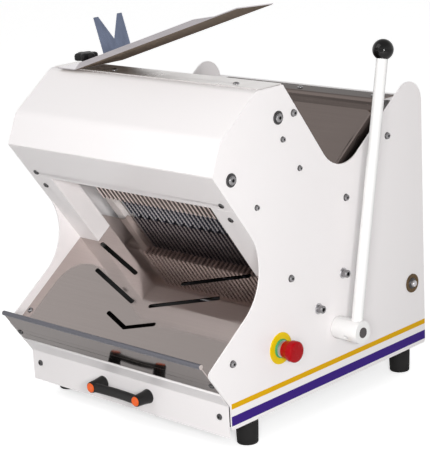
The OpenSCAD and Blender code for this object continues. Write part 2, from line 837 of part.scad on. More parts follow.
// A flat arm with a round end, from a centre up to a distance along its lean
module arm_plate(x0, x1, c, d, a, w) {
    translate([x0, c[0], c[1]]) rotate([-a, 0, 0]) profile(0, x1 - x0)
        polygon(rounded([[-w, 0, 0], [w, 0, 0], [w, d + w, w - 0.2], [-w, d + w, w - 0.2]]));
}

module lever_crank() {
    c = [lever_y, lever_z];
    color(grey) placed() {
        difference() {
            union() {
                rod(c, crank_x, crank_x + crank_w, shaft_r + 10);
                arm_plate(crank_x, crank_x + crank_w, c, crank_l + 36, -pin_a, 9);
            }
            rod(c, crank_x - 1, crank_x + crank_w + 1, shaft_r);
        }
        rod(leaned(c[0], c[1], crank_l, -pin_a), rod_x - 1, crank_x + 1, pin_r);
    }
}

module push_rod() {
    a = leaned(lever_y, lever_z, crank_l, -pin_a);
    b = leaned(pivot_y, pivot_z, crank_l, -pin_a);
    d = b - a;
    x1 = rod_x + rod_w;
    color(zinc) placed() difference() {
        union() {
            arm_plate(rod_x, x1, a, norm(d), atan2(d[0], d[1]), 8);
            rod(a, rod_x, x1, pin_r + 7);
            rod(b, rod_x, x1, pin_r + 7);
        }
        rod(a, rod_x - 1, x1 + 1, pin_r + run_gap);
        rod(b, rod_x - 1, x1 + 1, pin_r + 0.1);
    }
}

module pusher_shaft() {
    color(zinc) placed() rod([pivot_y, pivot_z], -x_out + 1, x_out - 1, shaft_r);
}

// Two arms on the pusher shaft; the right one carries the pin of the push rod
module pusher_arms() {
    c = [pivot_y, pivot_z];
    x1 = arm_x + arm_w;
    lean = -bed_a - arm_a;
    pin = leaned(c[0], c[1], crank_l, -pin_a);
    color(grey) placed() {
        difference() {
            both_sides() {
                rod(c, arm_x, x1, shaft_r + 12);
                arm_plate(arm_x, x1, c, arm_r, lean, 16);
            }
            rod(c, -x_out, x_out, shaft_r);
        }
        rod(pin, arm_x, x1, pin_r + 9);
        rod(pin, x1 - 1, rod_x + rod_w + 1.5, pin_r);
    }
}

// Plate that drives the loaf, on a bar between the arms
module pusher_plate() {
    u = pivot_u - arm_r * sin(arm_a);
    t = floor_t + arm_l;
    low = floor_t + 8;
    color(steel) in_bed() {
        box([-arm_x, arm_x], [u - 20, u + 8], [t - 12, t + 12]);
        box([-push_w / 2, push_w / 2], [u - 23, u - 20], [low, low + push_h]);
        for (x = [-push_w / 2, -push_w / 4, 0, push_w / 4, push_w / 2 - 4])
            box([x, x + 4], [u - 21, u - 8], [low + 8, low + push_h - 8]);
    }
}

module shaft_bushes() {
    color([0.7, 0.55, 0.3]) placed() both_sides() for (c = [[lever_y, lever_z], [pivot_y, pivot_z]])
        difference() {
            union() {
                rod(c, x_in - 1, x_out, bush_r);
                rod(c, x_in - 5, x_in, flange_r);
            }
            rod(c, x_in - 6, x_out + 1, shaft_r + run_gap);
        }
}

// Bronze washers with a bolt head over the shaft ends
module pivot_cap(c) {
    rod(c, x_out, x_out + cap_h, cap_r);
    rod(c, x_out + cap_h, x_out + cap_h + cap_bolt_h, cap_r - 8);
}

module pivot_caps() {
    color([0.5, 0.4, 0.26]) placed() {
        both_sides() pivot_cap([pivot_y, pivot_z]);
        mirror([1, 0, 0]) pivot_cap([lever_y, lever_z]);
    }
}

// Pan that the drawer front closes at its front end
module drawer_pan() {
    y = [front_y - 1, front_y - 1 + pan_l];
    color(steel) placed() difference() {
        box([-pan_x, pan_x], y, [pan_z, pan_z + pan_h]);
        box([-pan_x + pan_t, pan_x - pan_t], [y[0] - 1, y[1] - pan_t], [pan_z + pan_t, pan_z + pan_h + 1]);
    }
}

module front_hole(x, z, y, h) {
    translate([x, y, z]) rotate([-90, 0, 0]) cylinder(h = h, r = bolt_r - 1);
}

// Drawer front: upright below, then leaning out under the apron to a hem
module drawer_front() {
    u = -seam;
    t_bend = (bed_y(u, 0) - face_y) / sin(bed_a);
    bend = bed(u, t_bend);
    hem = bed(u, apron_t - 4);
    run = [[face_y, -drop_h, 0], [bend[0], bend[1], 6], [hem[0], hem[1], 0]];
    color(white) placed() difference() {
        union() {
            profile(-x_in + seam, x_in - seam) polygon(strip(run, -front_t));
            rod(bed(u + front_t / 2, apron_t - 4), -x_in + seam, x_in - seam, 2.5);
        }
        both_sides() front_hole(grip_w / 2, grip_z, face_y - 1, front_t + 2);
        both_sides() front_hole(pan_x - 8, pan_z + 14, face_y - 1, front_t + 2);
    }
}

// Bridge handle: two round posts and a bar between their front ends
module drawer_handle() {
    color(black) placed() {
        both_sides() translate([grip_w / 2, face_y, grip_z]) rotate([90, 0, 0]) cylinder(h = grip_d, r = post_r);
        box([-grip_w / 2, grip_w / 2], [face_y - grip_d, face_y - grip_d + grip_t], [grip_z - 9, grip_z + 9]);
    }
}

module handle_caps() {
    color([0.95, 0.38, 0.08]) placed() both_sides()
        translate([grip_w / 2, face_y - grip_d, grip_z]) rotate([90, 0, 0]) cylinder(h = 1.5, r = post_r - 3);
}

// Strips on the plates' flanges that carry and guide the pan
module drawer_runners() {
    color(grey) placed() both_sides() {
        box([x_out - flange_w + 4, x_in], [front_y + 14, front_y + pan_l], [plate_t, pan_z - 0.3]);
        box([pan_x + 2, pan_x + 5], [front_y + 14, front_y + pan_l], [pan_z - 1, pan_z + 24]);
    }
}

module drawer_screws() {
    color(zinc) placed() both_sides() {
        translate([pan_x - 8, face_y, pan_z + 14]) rotate([90, 0, 0]) cylinder(h = 3, r = 6);
        front_screw(pan_x - 8, pan_z + 14, face_y);
        front_screw(grip_w / 2, grip_z, face_y);
    }
}

module front_screw(x, z, y) {
    translate([x, y, z]) rotate([-90, 0, 0]) cylinder(h = front_t + 4, r = bolt_r - 1);
    translate([x, y + front_t, z]) rotate([-90, 0, 0]) cylinder(h = 4, r = 6);
}

module estop_disc() {
    color([0.94, 0.8, 0.05]) placed() difference() {
        rod([stop_y, stop_z], x_out, x_out + sheet_t, disc_r);
        rod([stop_y, stop_z], x_out - 1, x_out + sheet_t + 1, stem_r + 2);
    }
}

module estop_collar() {
    c = [stop_y, stop_z];
    x0 = x_out + sheet_t;
    color([0.2, 0.6, 0.42]) placed() difference() {
        union() {
            rod(c, x0, x0 + 4, head_r - 2);
            rod(c, x0, x0 + collar_h, head_r - 5);
        }
        rod(c, x0 - 1, x0 + collar_h + 1, stem_r + run_gap);
    }
}

module estop_button() {
    color([0.8, 0.08, 0.12]) placed() translate([0, stop_y, stop_z]) rotate([0, 90, 0]) {
        translate([0, 0, x_in - 7]) cylinder(h = head_x - x_in + 8, r = stem_r);
        translate([0, 0, head_x]) rotate_extrude() polygon(rounded([
            [0, 0, 0], [head_r - 5, 0, 0], [head_r, 7, 4], [head_r - 1, head_h, 7], [0, head_h, 0]
        ]));
    }
}

module estop_block() {
    color(black) placed() difference() {
        box([x_in - 34, x_in], [stop_y - 19, stop_y + 19], [stop_z - 19, stop_z + 19]);
        rod([stop_y, stop_z], x_in - 8 - press, x_in + 1, stem_r + 2);
    }
}

module stripe(z0, z1, y0) {
    both_sides() box([x_out, x_out + 0.4], [y0, rear_y - 1], [z0, z1]);
}

module stripes_yellow() {
    color([0.87, 0.66, 0.06]) placed() stripe(40, 50, front_y + 2);
}

module stripes_purple() {
    color([0.26, 0.16, 0.51]) placed() stripe(8, 26, front_y + 1);
}

// The scoop rises from a foot on the top plate; its floor and flanges are drawn along its slope
module on_scoop() {
    placed() translate([scoop_x, scoop_y, scoop_z]) rotate([0, -scoop_a, 0]) children();
}

module scoop_flange() {
    rotate([90, 0, 0]) linear_extrude(sheet_t) polygon([
        [0, 0], [scoop_l - 46, 0], [scoop_l - 110, scoop_h], [scoop_h * 2, scoop_h]
    ]);
}

module bag_scoop() {
    color(steel) {
        on_scoop() linear_extrude(sheet_t) polygon([
            [0, 0], [scoop_l, 0], [scoop_l - 32, scoop_w], [0, scoop_w]
        ]);
        on_scoop() translate([0, sheet_t, 0]) scoop_flange();
        on_scoop() translate([0, scoop_w, 0]) scoop_flange();
        placed() difference() {
            box([scoop_x - 48, scoop_x + 1], [scoop_y, scoop_y + scoop_w - 30], [scoop_z, scoop_z + sheet_t]);
            translate([knob_x, knob_y, scoop_z - 1]) cylinder(h = sheet_t + 2, r = stud_r + run_gap);
        }
    }
}

// Fork that holds the bag's mouth open, square to the scoop
module scoop_fork() {
    m = scoop_w / 2;
    w = fork_w / 2;
    color([0.52, 0.55, 0.68]) on_scoop() translate([fork_at, 0, sheet_t]) {
        rotate([90, 0, 90]) linear_extrude(sheet_t) polygon([
            [m - w, 0], [m + w, 0], [m + w, fork_h], [m + w - 12, fork_h], [m, fork_h * 0.42],
            [m - w + 12, fork_h], [m - w, fork_h]
        ]);
        box([0, 14], [m - w, m + w], [0, sheet_t]);
    }
}

module clamp_knob() {
    stem_z = scoop_z + sheet_t + 0.3;
    color(black) placed() translate([knob_x, knob_y, 0]) {
        translate([0, 0, top_z - 14]) cylinder(h = stem_z - top_z + 15, r = stud_r);
        translate([0, 0, stem_z]) cylinder(h = 9, r = 8);
        translate([0, 0, stem_z + 8]) difference() {
            cylinder(h = 15, r = knob_r);
            for (a = [0:60:300]) rotate([0, 0, a]) translate([knob_r + 3, 0, -1]) cylinder(h = 17, r = 8);
        }
    }
}

module feet() {
    color(black) placed() both_sides() for (y = foot_y) translate([foot_x(), y, -foot_h]) {
        rotate_extrude() polygon(rounded([
            [0, 0, 0], [foot_r - 2, 0, 3], [foot_r, foot_h, 0], [0, foot_h, 0]
        ]));
        translate([0, 0, foot_h - 1]) cylinder(h = plate_t + 1, r = bolt_r);
    }
}

module panel_screw() {
    cylinder(h = 2.5, r = 6);
    translate([0, 0, -sheet_t - 3]) cylinder(h = sheet_t + 4, r = bolt_r - 1);
}

module panel_screws() {
    color(zinc) {
        in_bed() both_sides() {
            for (t = [exit_t + 13, exit_t - 25])
                translate([guard_screw_x, exit_u, t]) rotate([90, 0, 0]) panel_screw();
            translate([x_in - 8, 0, floor_t - 15]) rotate([90, 0, 0]) panel_screw();
            translate([x_in - 10, 45, floor_t]) panel_screw();
        }
        placed() {
            for (x = top_screw_x) translate([x, top_screw_y, top_z]) panel_screw();
            for (x = rim_screw_x) translate([x, rim_screw_y, chute_z]) panel_screw();
        }
    }
}

module cable_gland() {
    color(black) placed() translate([gland_x, rear_y - 4, gland_z]) rotate([-90, 0, 0]) difference() {
        union() {
            translate([0, 0, -4]) cylinder(h = 8, r = 8);
            translate([0, 0, sheet_t]) cylinder(h = 6, r = 12, $fn = 6);
            translate([0, 0, sheet_t + 5]) cylinder(h = gland_l - 3, r = 9);
        }
        translate([0, 0, -5]) cylinder(h = gland_l + 12, r = 4.5);
    }
}

side_plate_right();
side_plate_left();
front_cover();
exit_panel();
exit_guard_right();
exit_guard_left();
top_plate();
head_rear_panel();
infeed_chute();
chute_crossbar();
rear_cover();
outfeed_tray();
front_apron();
stripper_comb();
tie_bars();
side_bolts_right();
side_bolts_left();
stop_bolts();
blade_guides();
blade_frame_front();
blades_front();
blade_frame_rear();
blades_rear();
motor();
motor_shelf();
motor_pulley();
drive_belt();
crankshaft();
crank_pulley();
bearing_blocks();
lever_shaft();
lever_hub();
lever_tube();
lever_ball();
hub_plug();
lever_crank();
push_rod();
pusher_shaft();
pusher_arms();
pusher_plate();
shaft_bushes();
pivot_caps();
drawer_pan();
drawer_front();
drawer_handle();
handle_caps();
drawer_runners();
drawer_screws();
estop_disc();
estop_collar();
estop_button();
estop_block();
stripes_yellow();
stripes_purple();
bag_scoop();
scoop_fork();
clamp_knob();
feet();
panel_screws();
cable_gland();
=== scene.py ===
"""Finishes and small parts of a table-top bread slicer, with a plain studio round it."""

import math

import bmesh
import bpy
from bpy.props import FloatProperty, FloatVectorProperty, IntProperty, PointerProperty
from mathutils import Matrix, Vector


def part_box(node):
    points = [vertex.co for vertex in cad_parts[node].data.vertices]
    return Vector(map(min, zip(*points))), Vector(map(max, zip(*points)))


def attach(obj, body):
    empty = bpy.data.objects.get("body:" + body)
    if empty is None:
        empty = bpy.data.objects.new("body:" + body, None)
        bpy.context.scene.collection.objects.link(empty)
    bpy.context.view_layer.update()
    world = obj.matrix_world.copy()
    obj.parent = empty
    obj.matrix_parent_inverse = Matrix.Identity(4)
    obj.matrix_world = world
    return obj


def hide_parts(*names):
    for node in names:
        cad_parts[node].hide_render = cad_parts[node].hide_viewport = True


bl_info = {
    "name": "Bread slicer finishes",
    "version": (1, 0, 0),
    "blender": (4, 5, 0),
    "location": "View3D > Sidebar > Slicer",
    "description": "Finishes, small parts and studio for a table-top bread slicer",
    "category": "Object",
}

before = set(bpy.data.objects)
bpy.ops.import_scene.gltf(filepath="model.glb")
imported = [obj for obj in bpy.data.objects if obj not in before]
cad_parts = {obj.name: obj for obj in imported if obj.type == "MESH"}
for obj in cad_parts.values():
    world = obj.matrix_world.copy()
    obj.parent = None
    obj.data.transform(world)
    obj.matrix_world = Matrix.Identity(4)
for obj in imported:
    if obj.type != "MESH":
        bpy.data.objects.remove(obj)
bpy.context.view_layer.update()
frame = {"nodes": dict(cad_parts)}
nodes = frame["nodes"]

# The machine's own frame, in mm: X from the middle plane, Y from the plates' front, Z from their lower edge
MM = 0.001
PLATE_LOW, PLATE_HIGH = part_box("side_plate_right")
LEFT_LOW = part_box("side_plate_left")[0]
MIDDLE_X = (LEFT_LOW.x + PLATE_HIGH.x) / 2
REAR_Y = 588 * MM
SHIFT = Vector((MIDDLE_X, PLATE_HIGH.y - REAR_Y, PLATE_LOW.z))
# Outside and inside of a side plate, the drawer's face, the V notch's front edge and the blade frames' posts
X_OUT = 270
X_IN = 267
FACE_Y = -1
V_TOP = 177.2
POST_X = 191.5
# Axes of the lever, the pusher and the stop button, and the feet of the drawer's handle
LEVER = Vector((0, 309, 110))
LEVER_LEAN = math.radians(11.2)
HUB_LENGTH = 60
PIVOT = Vector((0, 546, 136))
STOP = Vector((0, 142, 116))
HANDLE_X, HANDLE_Z = 61, 20

# The sloping bed, in mm: U up the slope from its nose, T square to it
BED_ANGLE = math.radians(36)
NOSE = Vector((0, -53, 120))
# The tray's floor, the exit's plane and upper edge, and the middle of the blades
FLOOR_T = -18
EXIT_U = 235
EXIT_T = 171
SAW_U = 320


def at(x, y, z):
    """A point of the machine's own frame, in mm, as a place in the scene."""
    return Vector((x, y, z)) * MM + SHIFT


def on_bed(x, u, t):
    """A point of the sloping bed, in mm, as a place in the scene."""
    along, square = math.cos(BED_ANGLE), math.sin(BED_ANGLE)
    return at(x, NOSE.y + u * along - t * square, NOSE.z + u * square + t * along)


UP_BED = Vector((0, math.cos(BED_ANGLE), math.sin(BED_ANGLE)))
OFF_BED = Vector((0, -math.sin(BED_ANGLE), math.cos(BED_ANGLE)))


def srgb(red, green, blue):
    """A colour of 0 to 255 as linear light."""
    levels = []
    for level in (red, green, blue):
        part = level / 255
        levels.append(part / 12.92 if part <= 0.04045 else ((part + 0.055) / 1.055) ** 2.4)
    return tuple(levels)


def colour(name, about, red, green, blue):
    """A colour property of a finish."""
    return FloatVectorProperty(
        name=name, description=about, subtype="COLOR", size=3, min=0, max=1, default=srgb(red, green, blue)
    )


class SlicerColours(bpy.types.PropertyGroup):
    """Colours of the slicer's finishes."""

    paint: colour("Paint", "White powder coat of the body", 242, 238, 238)
    enamel: colour("Enamel", "Bright white enamel of the lever", 241, 240, 239)
    stainless: colour("Stainless", "Polished sheet of the tray", 196, 185, 181)
    # Painted shade: the apron colour is the tray's polished sheet darkened to stand for the dark reflections
    # it shows
    apron: colour("Apron", "Darker polished sheet under the tray's lip", 98, 89, 86)
    scoop: colour("Scoop", "Polished upper face of the scoop", 220, 214, 217)
    # Painted shade: the under colour darkens the scoop's downward faces
    under: colour("Under", "Darker underside of the scoop", 136, 123, 111)
    fork: colour("Fork", "Bluish sheet of the fork", 128, 137, 160)
    top: colour("Top", "Brushed sheet of the top", 242, 238, 236)
    chute: colour("Chute", "Darker polished sheet of the infeed chute", 158, 145, 140)
    zinc: colour("Zinc", "Plated bolts, bars and shafts", 206, 204, 206)
    blade: colour("Blade", "Sides of the blades", 84, 84, 96)
    ground: colour("Ground edge", "Ground edges of the blades", 218, 214, 218)
    comb: colour("Comb", "Fingers of the comb", 238, 222, 217)
    frame: colour("Frame", "Pale enamel of the blade frames and guides", 236, 228, 225)
    casting: colour("Casting", "Grey enamel of the drive and the brackets", 112, 116, 122)
    bronze: colour("Bronze", "Bushes and large washers", 104, 84, 60)
    black: colour("Black", "Black moulded plastic", 27, 26, 26)
    trim: colour("Trim", "Edge trim on the tray's lip", 94, 94, 102)
    plug: colour("Plug", "Plug in the lever's hub", 84, 80, 80)
    rubber: colour("Rubber", "Feet and belt", 34, 33, 33)
    red: colour("Red", "Stop button", 168, 3, 16)
    yellow: colour("Yellow", "Stop disc", 232, 198, 4)
    green: colour("Green", "Stop collar", 78, 160, 108)
    orange: colour("Orange", "Handle caps", 240, 96, 6)
    band_yellow: colour("Yellow band", "Upper band along the sides", 222, 170, 3)
    band_purple: colour("Purple band", "Lower band along the sides", 56, 28, 124)


def length(name, about, size):
    """A length property of a small part, given in mm."""
    return FloatProperty(name=name, description=about, default=size * MM, min=0, unit="LENGTH")


def power(name, about, watts):
    """A power property of a lamp."""
    return FloatProperty(name=name, description=about, default=watts, min=0, unit="POWER")


class SlicerSizes(bpy.types.PropertyGroup):
    """Sizes of the slicer's small parts."""

    ball: length("Ball", "Radius of the lever's ball", 20)
    disc: length("Disc", "Radius of the stop disc", 30)
    scallop: length("Scallop", "Length of a scallop along a blade's edge", 8)
    bite: length("Bite", "Depth of a scallop", 1.4)
    trim: length("Trim", "Radius of the edge trim on the tray's lip", 4.9)


class SlicerLight(bpy.types.PropertyGroup):
    """Levels of the studio light."""

    around: FloatProperty(name="Around", description="Light from all round", default=0.4, min=0)
    key: power("Key", "Large lamp above the front", 25.0)
    side: power("Side", "Small lamp beside the lever", 27.0)
    front: power("Front", "Lamp that shines into the exit", 42.0)


def colours_of(context):
    """The colours in this scene."""
    return context.scene.slicer_colours


def new_node(tree, kind, values=(), operation=None):
    """Adds a shader node and sets some of its inputs, by their names or numbers."""
    made = tree.nodes.new("ShaderNode" + kind)
    if operation:
        made.operation = operation
    for label, value in dict(values).items():
        made.inputs[label].default_value = value
    return made


def wire(tree, *rows):
    """Links nodes: each row holds a node, its output, another node and its input."""
    for source, output, target, label in rows:
        tree.links.new(source.outputs[output], target.inputs[label])


def group_tree(name, inputs, outputs):
    """A new shader node group that takes a vector and other inputs with their defaults."""
    tree = bpy.data.node_groups.new(name, "ShaderNodeTree")
    tree.interface.new_socket("Vector", in_out="INPUT", socket_type="NodeSocketVector")
    for label, value in inputs.items():
        kind = "NodeSocketVector" if isinstance(value, tuple) else "NodeSocketFloat"
        tree.interface.new_socket(label, in_out="INPUT", socket_type=kind).default_value = value
    for label in outputs:
        tree.interface.new_socket(label, in_out="OUTPUT", socket_type="NodeSocketFloat")
    return tree, tree.nodes.new("NodeGroupInput"), tree.nodes.new("NodeGroupOutput")


def mottle_group():
    """Slow and fine unevenness: a share that darkens the colour, a roughness and a height."""
    found = bpy.data.node_groups.get("Mottle")
    if found:
        return found
    inputs = {"Broad Scale": 6.0, "Fine Scale": 300.0, "Roughness Low": 0.3, "Roughness High": 0.4}
    tree, start, end = group_tree("Mottle", inputs, ("Broad", "Roughness", "Height"))
    broad = new_node(tree, "TexNoise", {"Detail": 3})
    fine = new_node(tree, "TexNoise", {"Detail": 2})
    rough = new_node(tree, "MapRange")
    wire(
        tree,
        (start, "Vector", broad, "Vector"),
        (start, "Broad Scale", broad, "Scale"),
        (start, "Vector", fine, "Vector"),
        (start, "Fine Scale", fine, "Scale"),
        (broad, "Fac", rough, "Value"),
        (start, "Roughness Low", rough, "To Min"),
        (start, "Roughness High", rough, "To Max"),
        (broad, "Fac", end, "Broad"),
        (rough, "Result", end, "Roughness"),
        (fine, "Fac", end, "Height"),
    )
    return tree


def brushed_group():
    """Grinding lines along one direction, with slow smears over them."""
    found = bpy.data.node_groups.get("Brushed")
    if found:
        return found
    inputs = {
        "Stretch": (6.0, 400.0, 400.0),
        "Smear Scale": 9.0,
        "Roughness Low": 0.15,
        "Roughness High": 0.3,
    }
    tree, start, end = group_tree("Brushed", inputs, ("Streak", "Roughness"))
    stretched = new_node(tree, "VectorMath", operation="MULTIPLY")
    lines = new_node(tree, "TexNoise", {"Scale": 1, "Detail": 3})
    smear = new_node(tree, "TexNoise", {"Detail": 4})
    mixed = new_node(tree, "Math", {1: 0.5}, "MULTIPLY_ADD")
    rough = new_node(tree, "MapRange", {"From Min": 0.45, "From Max": 1.05})
    wire(
        tree,
        (start, "Vector", stretched, 0),
        (start, "Stretch", stretched, 1),
        (stretched, "Vector", lines, "Vector"),
        (start, "Vector", smear, "Vector"),
        (start, "Smear Scale", smear, "Scale"),
        (lines, "Fac", mixed, 0),
        (smear, "Fac", mixed, 2),
        (mixed, "Value", rough, "Value"),
        (start, "Roughness Low", rough, "To Min"),
        (start, "Roughness High", rough, "To Max"),
        (lines, "Fac", end, "Streak"),
        (rough, "Result", end, "Roughness"),
    )
    return tree


def along_group():
    """A mask that rises from 0 to 1 along a direction."""
    found = bpy.data.node_groups.get("Along")
    if found:
        return found
    inputs = {"Direction": (0.0, 0.0, 1.0), "Low": 0.0, "High": 1.0}
    tree, start, end = group_tree("Along", inputs, ("Mask",))
    share = new_node(tree, "VectorMath", operation="DOT_PRODUCT")
    ramp = new_node(tree, "MapRange")
    wire(
        tree,
        (start, "Vector", share, 0),
        (start, "Direction", share, 1),
        (share, "Value", ramp, "Value"),
        (start, "Low", ramp, "From Min"),
        (start, "High", ramp, "From Max"),
        (ramp, "Result", end, "Mask"),
    )
    return tree


def middle_group():
    """A mask that is 1 up to one distance from the middle plane, either side, and 0 from another on."""
    found = bpy.data.node_groups.get("Middle")
    if found:
        return found
    tree, start, end = group_tree("Middle", {"Near": 0.1, "Far": 0.2}, ("Mask",))
    split = new_node(tree, "SeparateXYZ")
    off = new_node(tree, "Math", {1: MIDDLE_X}, "SUBTRACT")
    distance = new_node(tree, "Math", operation="ABSOLUTE")
    ramp = new_node(tree, "MapRange")
    wire(
        tree,
        (start, "Vector", split, "Vector"),
        (split, "X", off, 0),
        (off, "Value", distance, 0),
        (distance, "Value", ramp, "Value"),
        (start, "Far", ramp, "From Min"),
        (start, "Near", ramp, "From Max"),
        (ramp, "Result", end, "Mask"),
    )
    return tree


def blank_material(name):
    """A material with a Principled BSDF."""
    made = bpy.data.materials.new("slicer_" + name)
    made.use_nodes = True
    tree = made.node_tree
    return made, tree, tree.nodes["Principled BSDF"]


def place_group(material, group, output, values):
    """Places a node group in a material, on an output of its Texture Coordinate node."""
    tree = material.node_tree
    coords = tree.nodes.get("Texture Coordinate") or new_node(tree, "TexCoord")
    placed = tree.nodes.new("ShaderNodeGroup")
    placed.node_tree = group
    wire(tree, (coords, output, placed, "Vector"))
    for label, value in values.items():
        placed.inputs[label].default_value = value
    return placed


def shade_of(base, share):
    """A colour brought down to a share of itself."""
    return tuple(level * share for level in base)


def mix_in(tree, shader, mask, second):
    """A mix that runs the base colour over to a second colour where a mask is high."""
    mix = tree.nodes.new("ShaderNodeMix")
    mix.data_type = "RGBA"
    mix.inputs["B"].default_value = (*second, 1)
    tree.links.new(mask, mix.inputs["Factor"])
    tree.links.new(mix.outputs["Result"], shader.inputs["Base Color"])
    return mix


def surface(tree, shader, base, second, group, uneven, height, bump):
    """Feeds a placed group's outputs to the base colour, the roughness and the normal."""
    mix_in(tree, shader, group.outputs[uneven], second).inputs["A"].default_value = (*base, 1)
    relief = new_node(tree, "Bump", {"Strength": bump, "Distance": 0.2 * MM})
    wire(
        tree,
        (group, "Roughness", shader, "Roughness"),
        (group, height, relief, "Height"),
        (relief, "Normal", shader, "Normal"),
    )


def mottled(name, base, rough, broad=6.0, fine=300.0, share=0.95, bump=0.1, gloss=0.5):
    """A paint, plastic or casting finish with slow unevenness and a fine surface."""
    made, tree, shader = blank_material(name)
    values = {
        "Broad Scale": broad,
        "Fine Scale": fine,
        "Roughness Low": rough[0],
        "Roughness High": rough[1],
    }
    uneven = place_group(made, mottle_group(), "Object", values)
    surface(tree, shader, base, shade_of(base, share), uneven, "Broad", "Height", bump)
    shader.inputs["Specular IOR Level"].default_value = gloss
    return made


def brushed(name, base, rough, stretch, smear=9.0, share=0.85, bump=0.05, metal=1.0, rim=1.0):
    """A ground or rolled metal finish with lines along one direction."""
    made, tree, shader = blank_material(name)
    values = {
        "Stretch": stretch,
        "Smear Scale": smear,
        "Roughness Low": rough[0],
        "Roughness High": rough[1],
    }
    lines = place_group(made, brushed_group(), "Object", values)
    surface(tree, shader, base, shade_of(base, share), lines, "Streak", "Streak", bump)
    shader.inputs["Metallic"].default_value = metal
    shader.inputs["Specular Tint"].default_value = (rim, rim, rim, 1)
    return made


def second_tone(material, mask, tone):
    """Runs a finish over to a second tone where a mask is high."""
    tree = material.node_tree
    shader = tree.nodes["Principled BSDF"]
    first = shader.inputs["Base Color"].links[0].from_socket
    tree.links.new(first, mix_in(tree, shader, mask, tone).inputs["A"])


def along_mask(material, output, direction, low, high):
    """A mask that rises from 0 to 1 along a direction of the object's coordinates or normal."""
    values = {"Direction": direction, "Low": low, "High": high}
    return place_group(material, along_group(), output, values).outputs["Mask"]


def middle_mask(material, near, far):
    """A mask that is 1 near the middle plane, with its distances in mm."""
    values = {"Near": near * MM, "Far": far * MM}
    return place_group(material, middle_group(), "Object", values).outputs["Mask"]


def both_masks(material, first, second):
    """A mask that is high only where two masks are."""
    tree = material.node_tree
    both = new_node(tree, "Math", operation="MULTIPLY")
    tree.links.new(first, both.inputs[0])
    tree.links.new(second, both.inputs[1])
    return both.outputs["Value"]


def dull_where(material, mask):
    """Takes the metal's gloss off a finish where a mask is high."""
    tree = material.node_tree
    shader = tree.nodes["Principled BSDF"]
    shader.inputs["Specular IOR Level"].default_value = 0
    rest = new_node(tree, "Math", {0: 1}, "SUBTRACT")
    tree.links.new(mask, rest.inputs[1])
    wire(tree, (rest, "Value", shader, "Metallic"))


def finish_nodes(material, *names):
    """Gives CAD nodes one finish."""
    for name in names:
        node = nodes[name]
        node.data.materials.clear()
        node.data.materials.append(material)


def turned(bm, profile, place, axis, steps=32, material=0):
    """Adds a turned body: its profile's points are a radius and a distance along the axis, in mm."""
    axis = Vector(axis)
    turn = axis.to_track_quat("Z", "Y").to_matrix()
    line = [bm.verts.new(place + turn @ Vector((radius, 0, along)) * MM) for radius, along in profile]
    edges = [bm.edges.new(pair) for pair in zip(line, line[1:])]
    known = len(bm.faces)
    bmesh.ops.spin(
        bm, geom=[*line, *edges], cent=place, axis=axis, angle=math.tau, steps=steps, use_merge=True
    )
    bm.faces.ensure_lookup_table()
    for face in bm.faces[known:]:
        face.material_index = material


def hexagon(bm, place, axis, radius, depth):
    """Adds a hexagonal nut that stands on a place."""
    axis = Vector(axis)
    turn = axis.to_track_quat("Z", "Y").to_matrix().to_4x4()
    made = bmesh.ops.create_cone(
        bm,
        cap_ends=True,
        segments=6,
        radius1=radius * MM,
        radius2=radius * MM,
        depth=depth * MM,
        matrix=Matrix.Translation(place + axis * depth * MM / 2) @ turn,
    )
    edges = {edge for vert in made["verts"] for edge in vert.link_edges}
    bmesh.ops.bevel(
        bm, geom=list(edges), offset=0.5 * MM, affect="EDGES", segments=2, profile=0.5, material=-1
    )


SAME_PLACE = 0.000001
SHARP_ANGLE = math.radians(38)


def make_piece(bm, name, body, materials, *replaced):
    """Turns a bmesh into a smooth piece that rides on a body and may stand for CAD nodes."""
    bmesh.ops.remove_doubles(bm, verts=bm.verts, dist=SAME_PLACE)
    bmesh.ops.recalc_face_normals(bm, faces=bm.faces)
    mesh = bpy.data.meshes.new(name)
    bm.to_mesh(mesh)
    bm.free()
    mesh.shade_smooth()
    mesh.set_sharp_from_angle(angle=SHARP_ANGLE)
    for material in materials:
        mesh.materials.append(material)
    piece = bpy.data.objects.new(name, mesh)
    bpy.context.scene.collection.objects.link(piece)
    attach(piece, body)
    if replaced:
        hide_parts(*replaced)


def finish(name):
    """A finish that is already made."""
    return bpy.data.materials["slicer_" + name]


class SLICER_OT_white_panels(bpy.types.Operator):
    """Powder coat on the plates, covers, guards and drawer front, and the lever's enamel"""

    bl_idname = "slicer.white_panels"
    bl_label = "White panels"

    def execute(self, context):
        colours = colours_of(context)
        rough = (0.26, 0.32)
        coat = {"broad": 3.0, "fine": 420.0, "share": 0.99, "bump": 0.03, "gloss": 0.4}
        plate = mottled("plate_paint", colours.paint, rough, **coat)
        # Painted shade: the plates' inner faces below the tray's floor go to 4% of the paint, so the tray's
        # slots look dark
        inside = middle_mask(plate, X_IN + 0.5, X_IN + 1)
        floor = -on_bed(0, 0, FLOOR_T).dot(OFF_BED)
        below = along_mask(plate, "Object", -OFF_BED, floor + 50 * MM, floor + 70 * MM)
        second_tone(plate, both_masks(plate, inside, below), shade_of(colours.paint, 0.04))
        finish_nodes(plate, "side_plate_right", "side_plate_left")
        paint = mottled("white_paint", colours.paint, rough, **coat)
        finish_nodes(paint, "front_cover", "exit_panel", "exit_guard_right", "exit_guard_left")
        finish_nodes(paint, "head_rear_panel", "rear_cover", "drawer_front")
        tube = mottled("lever_enamel", colours.enamel, (0.14, 0.2), broad=12.0, share=0.985, bump=0.02)
        finish_nodes(tube, "lever_hub", "lever_tube")
        return {"FINISHED"}


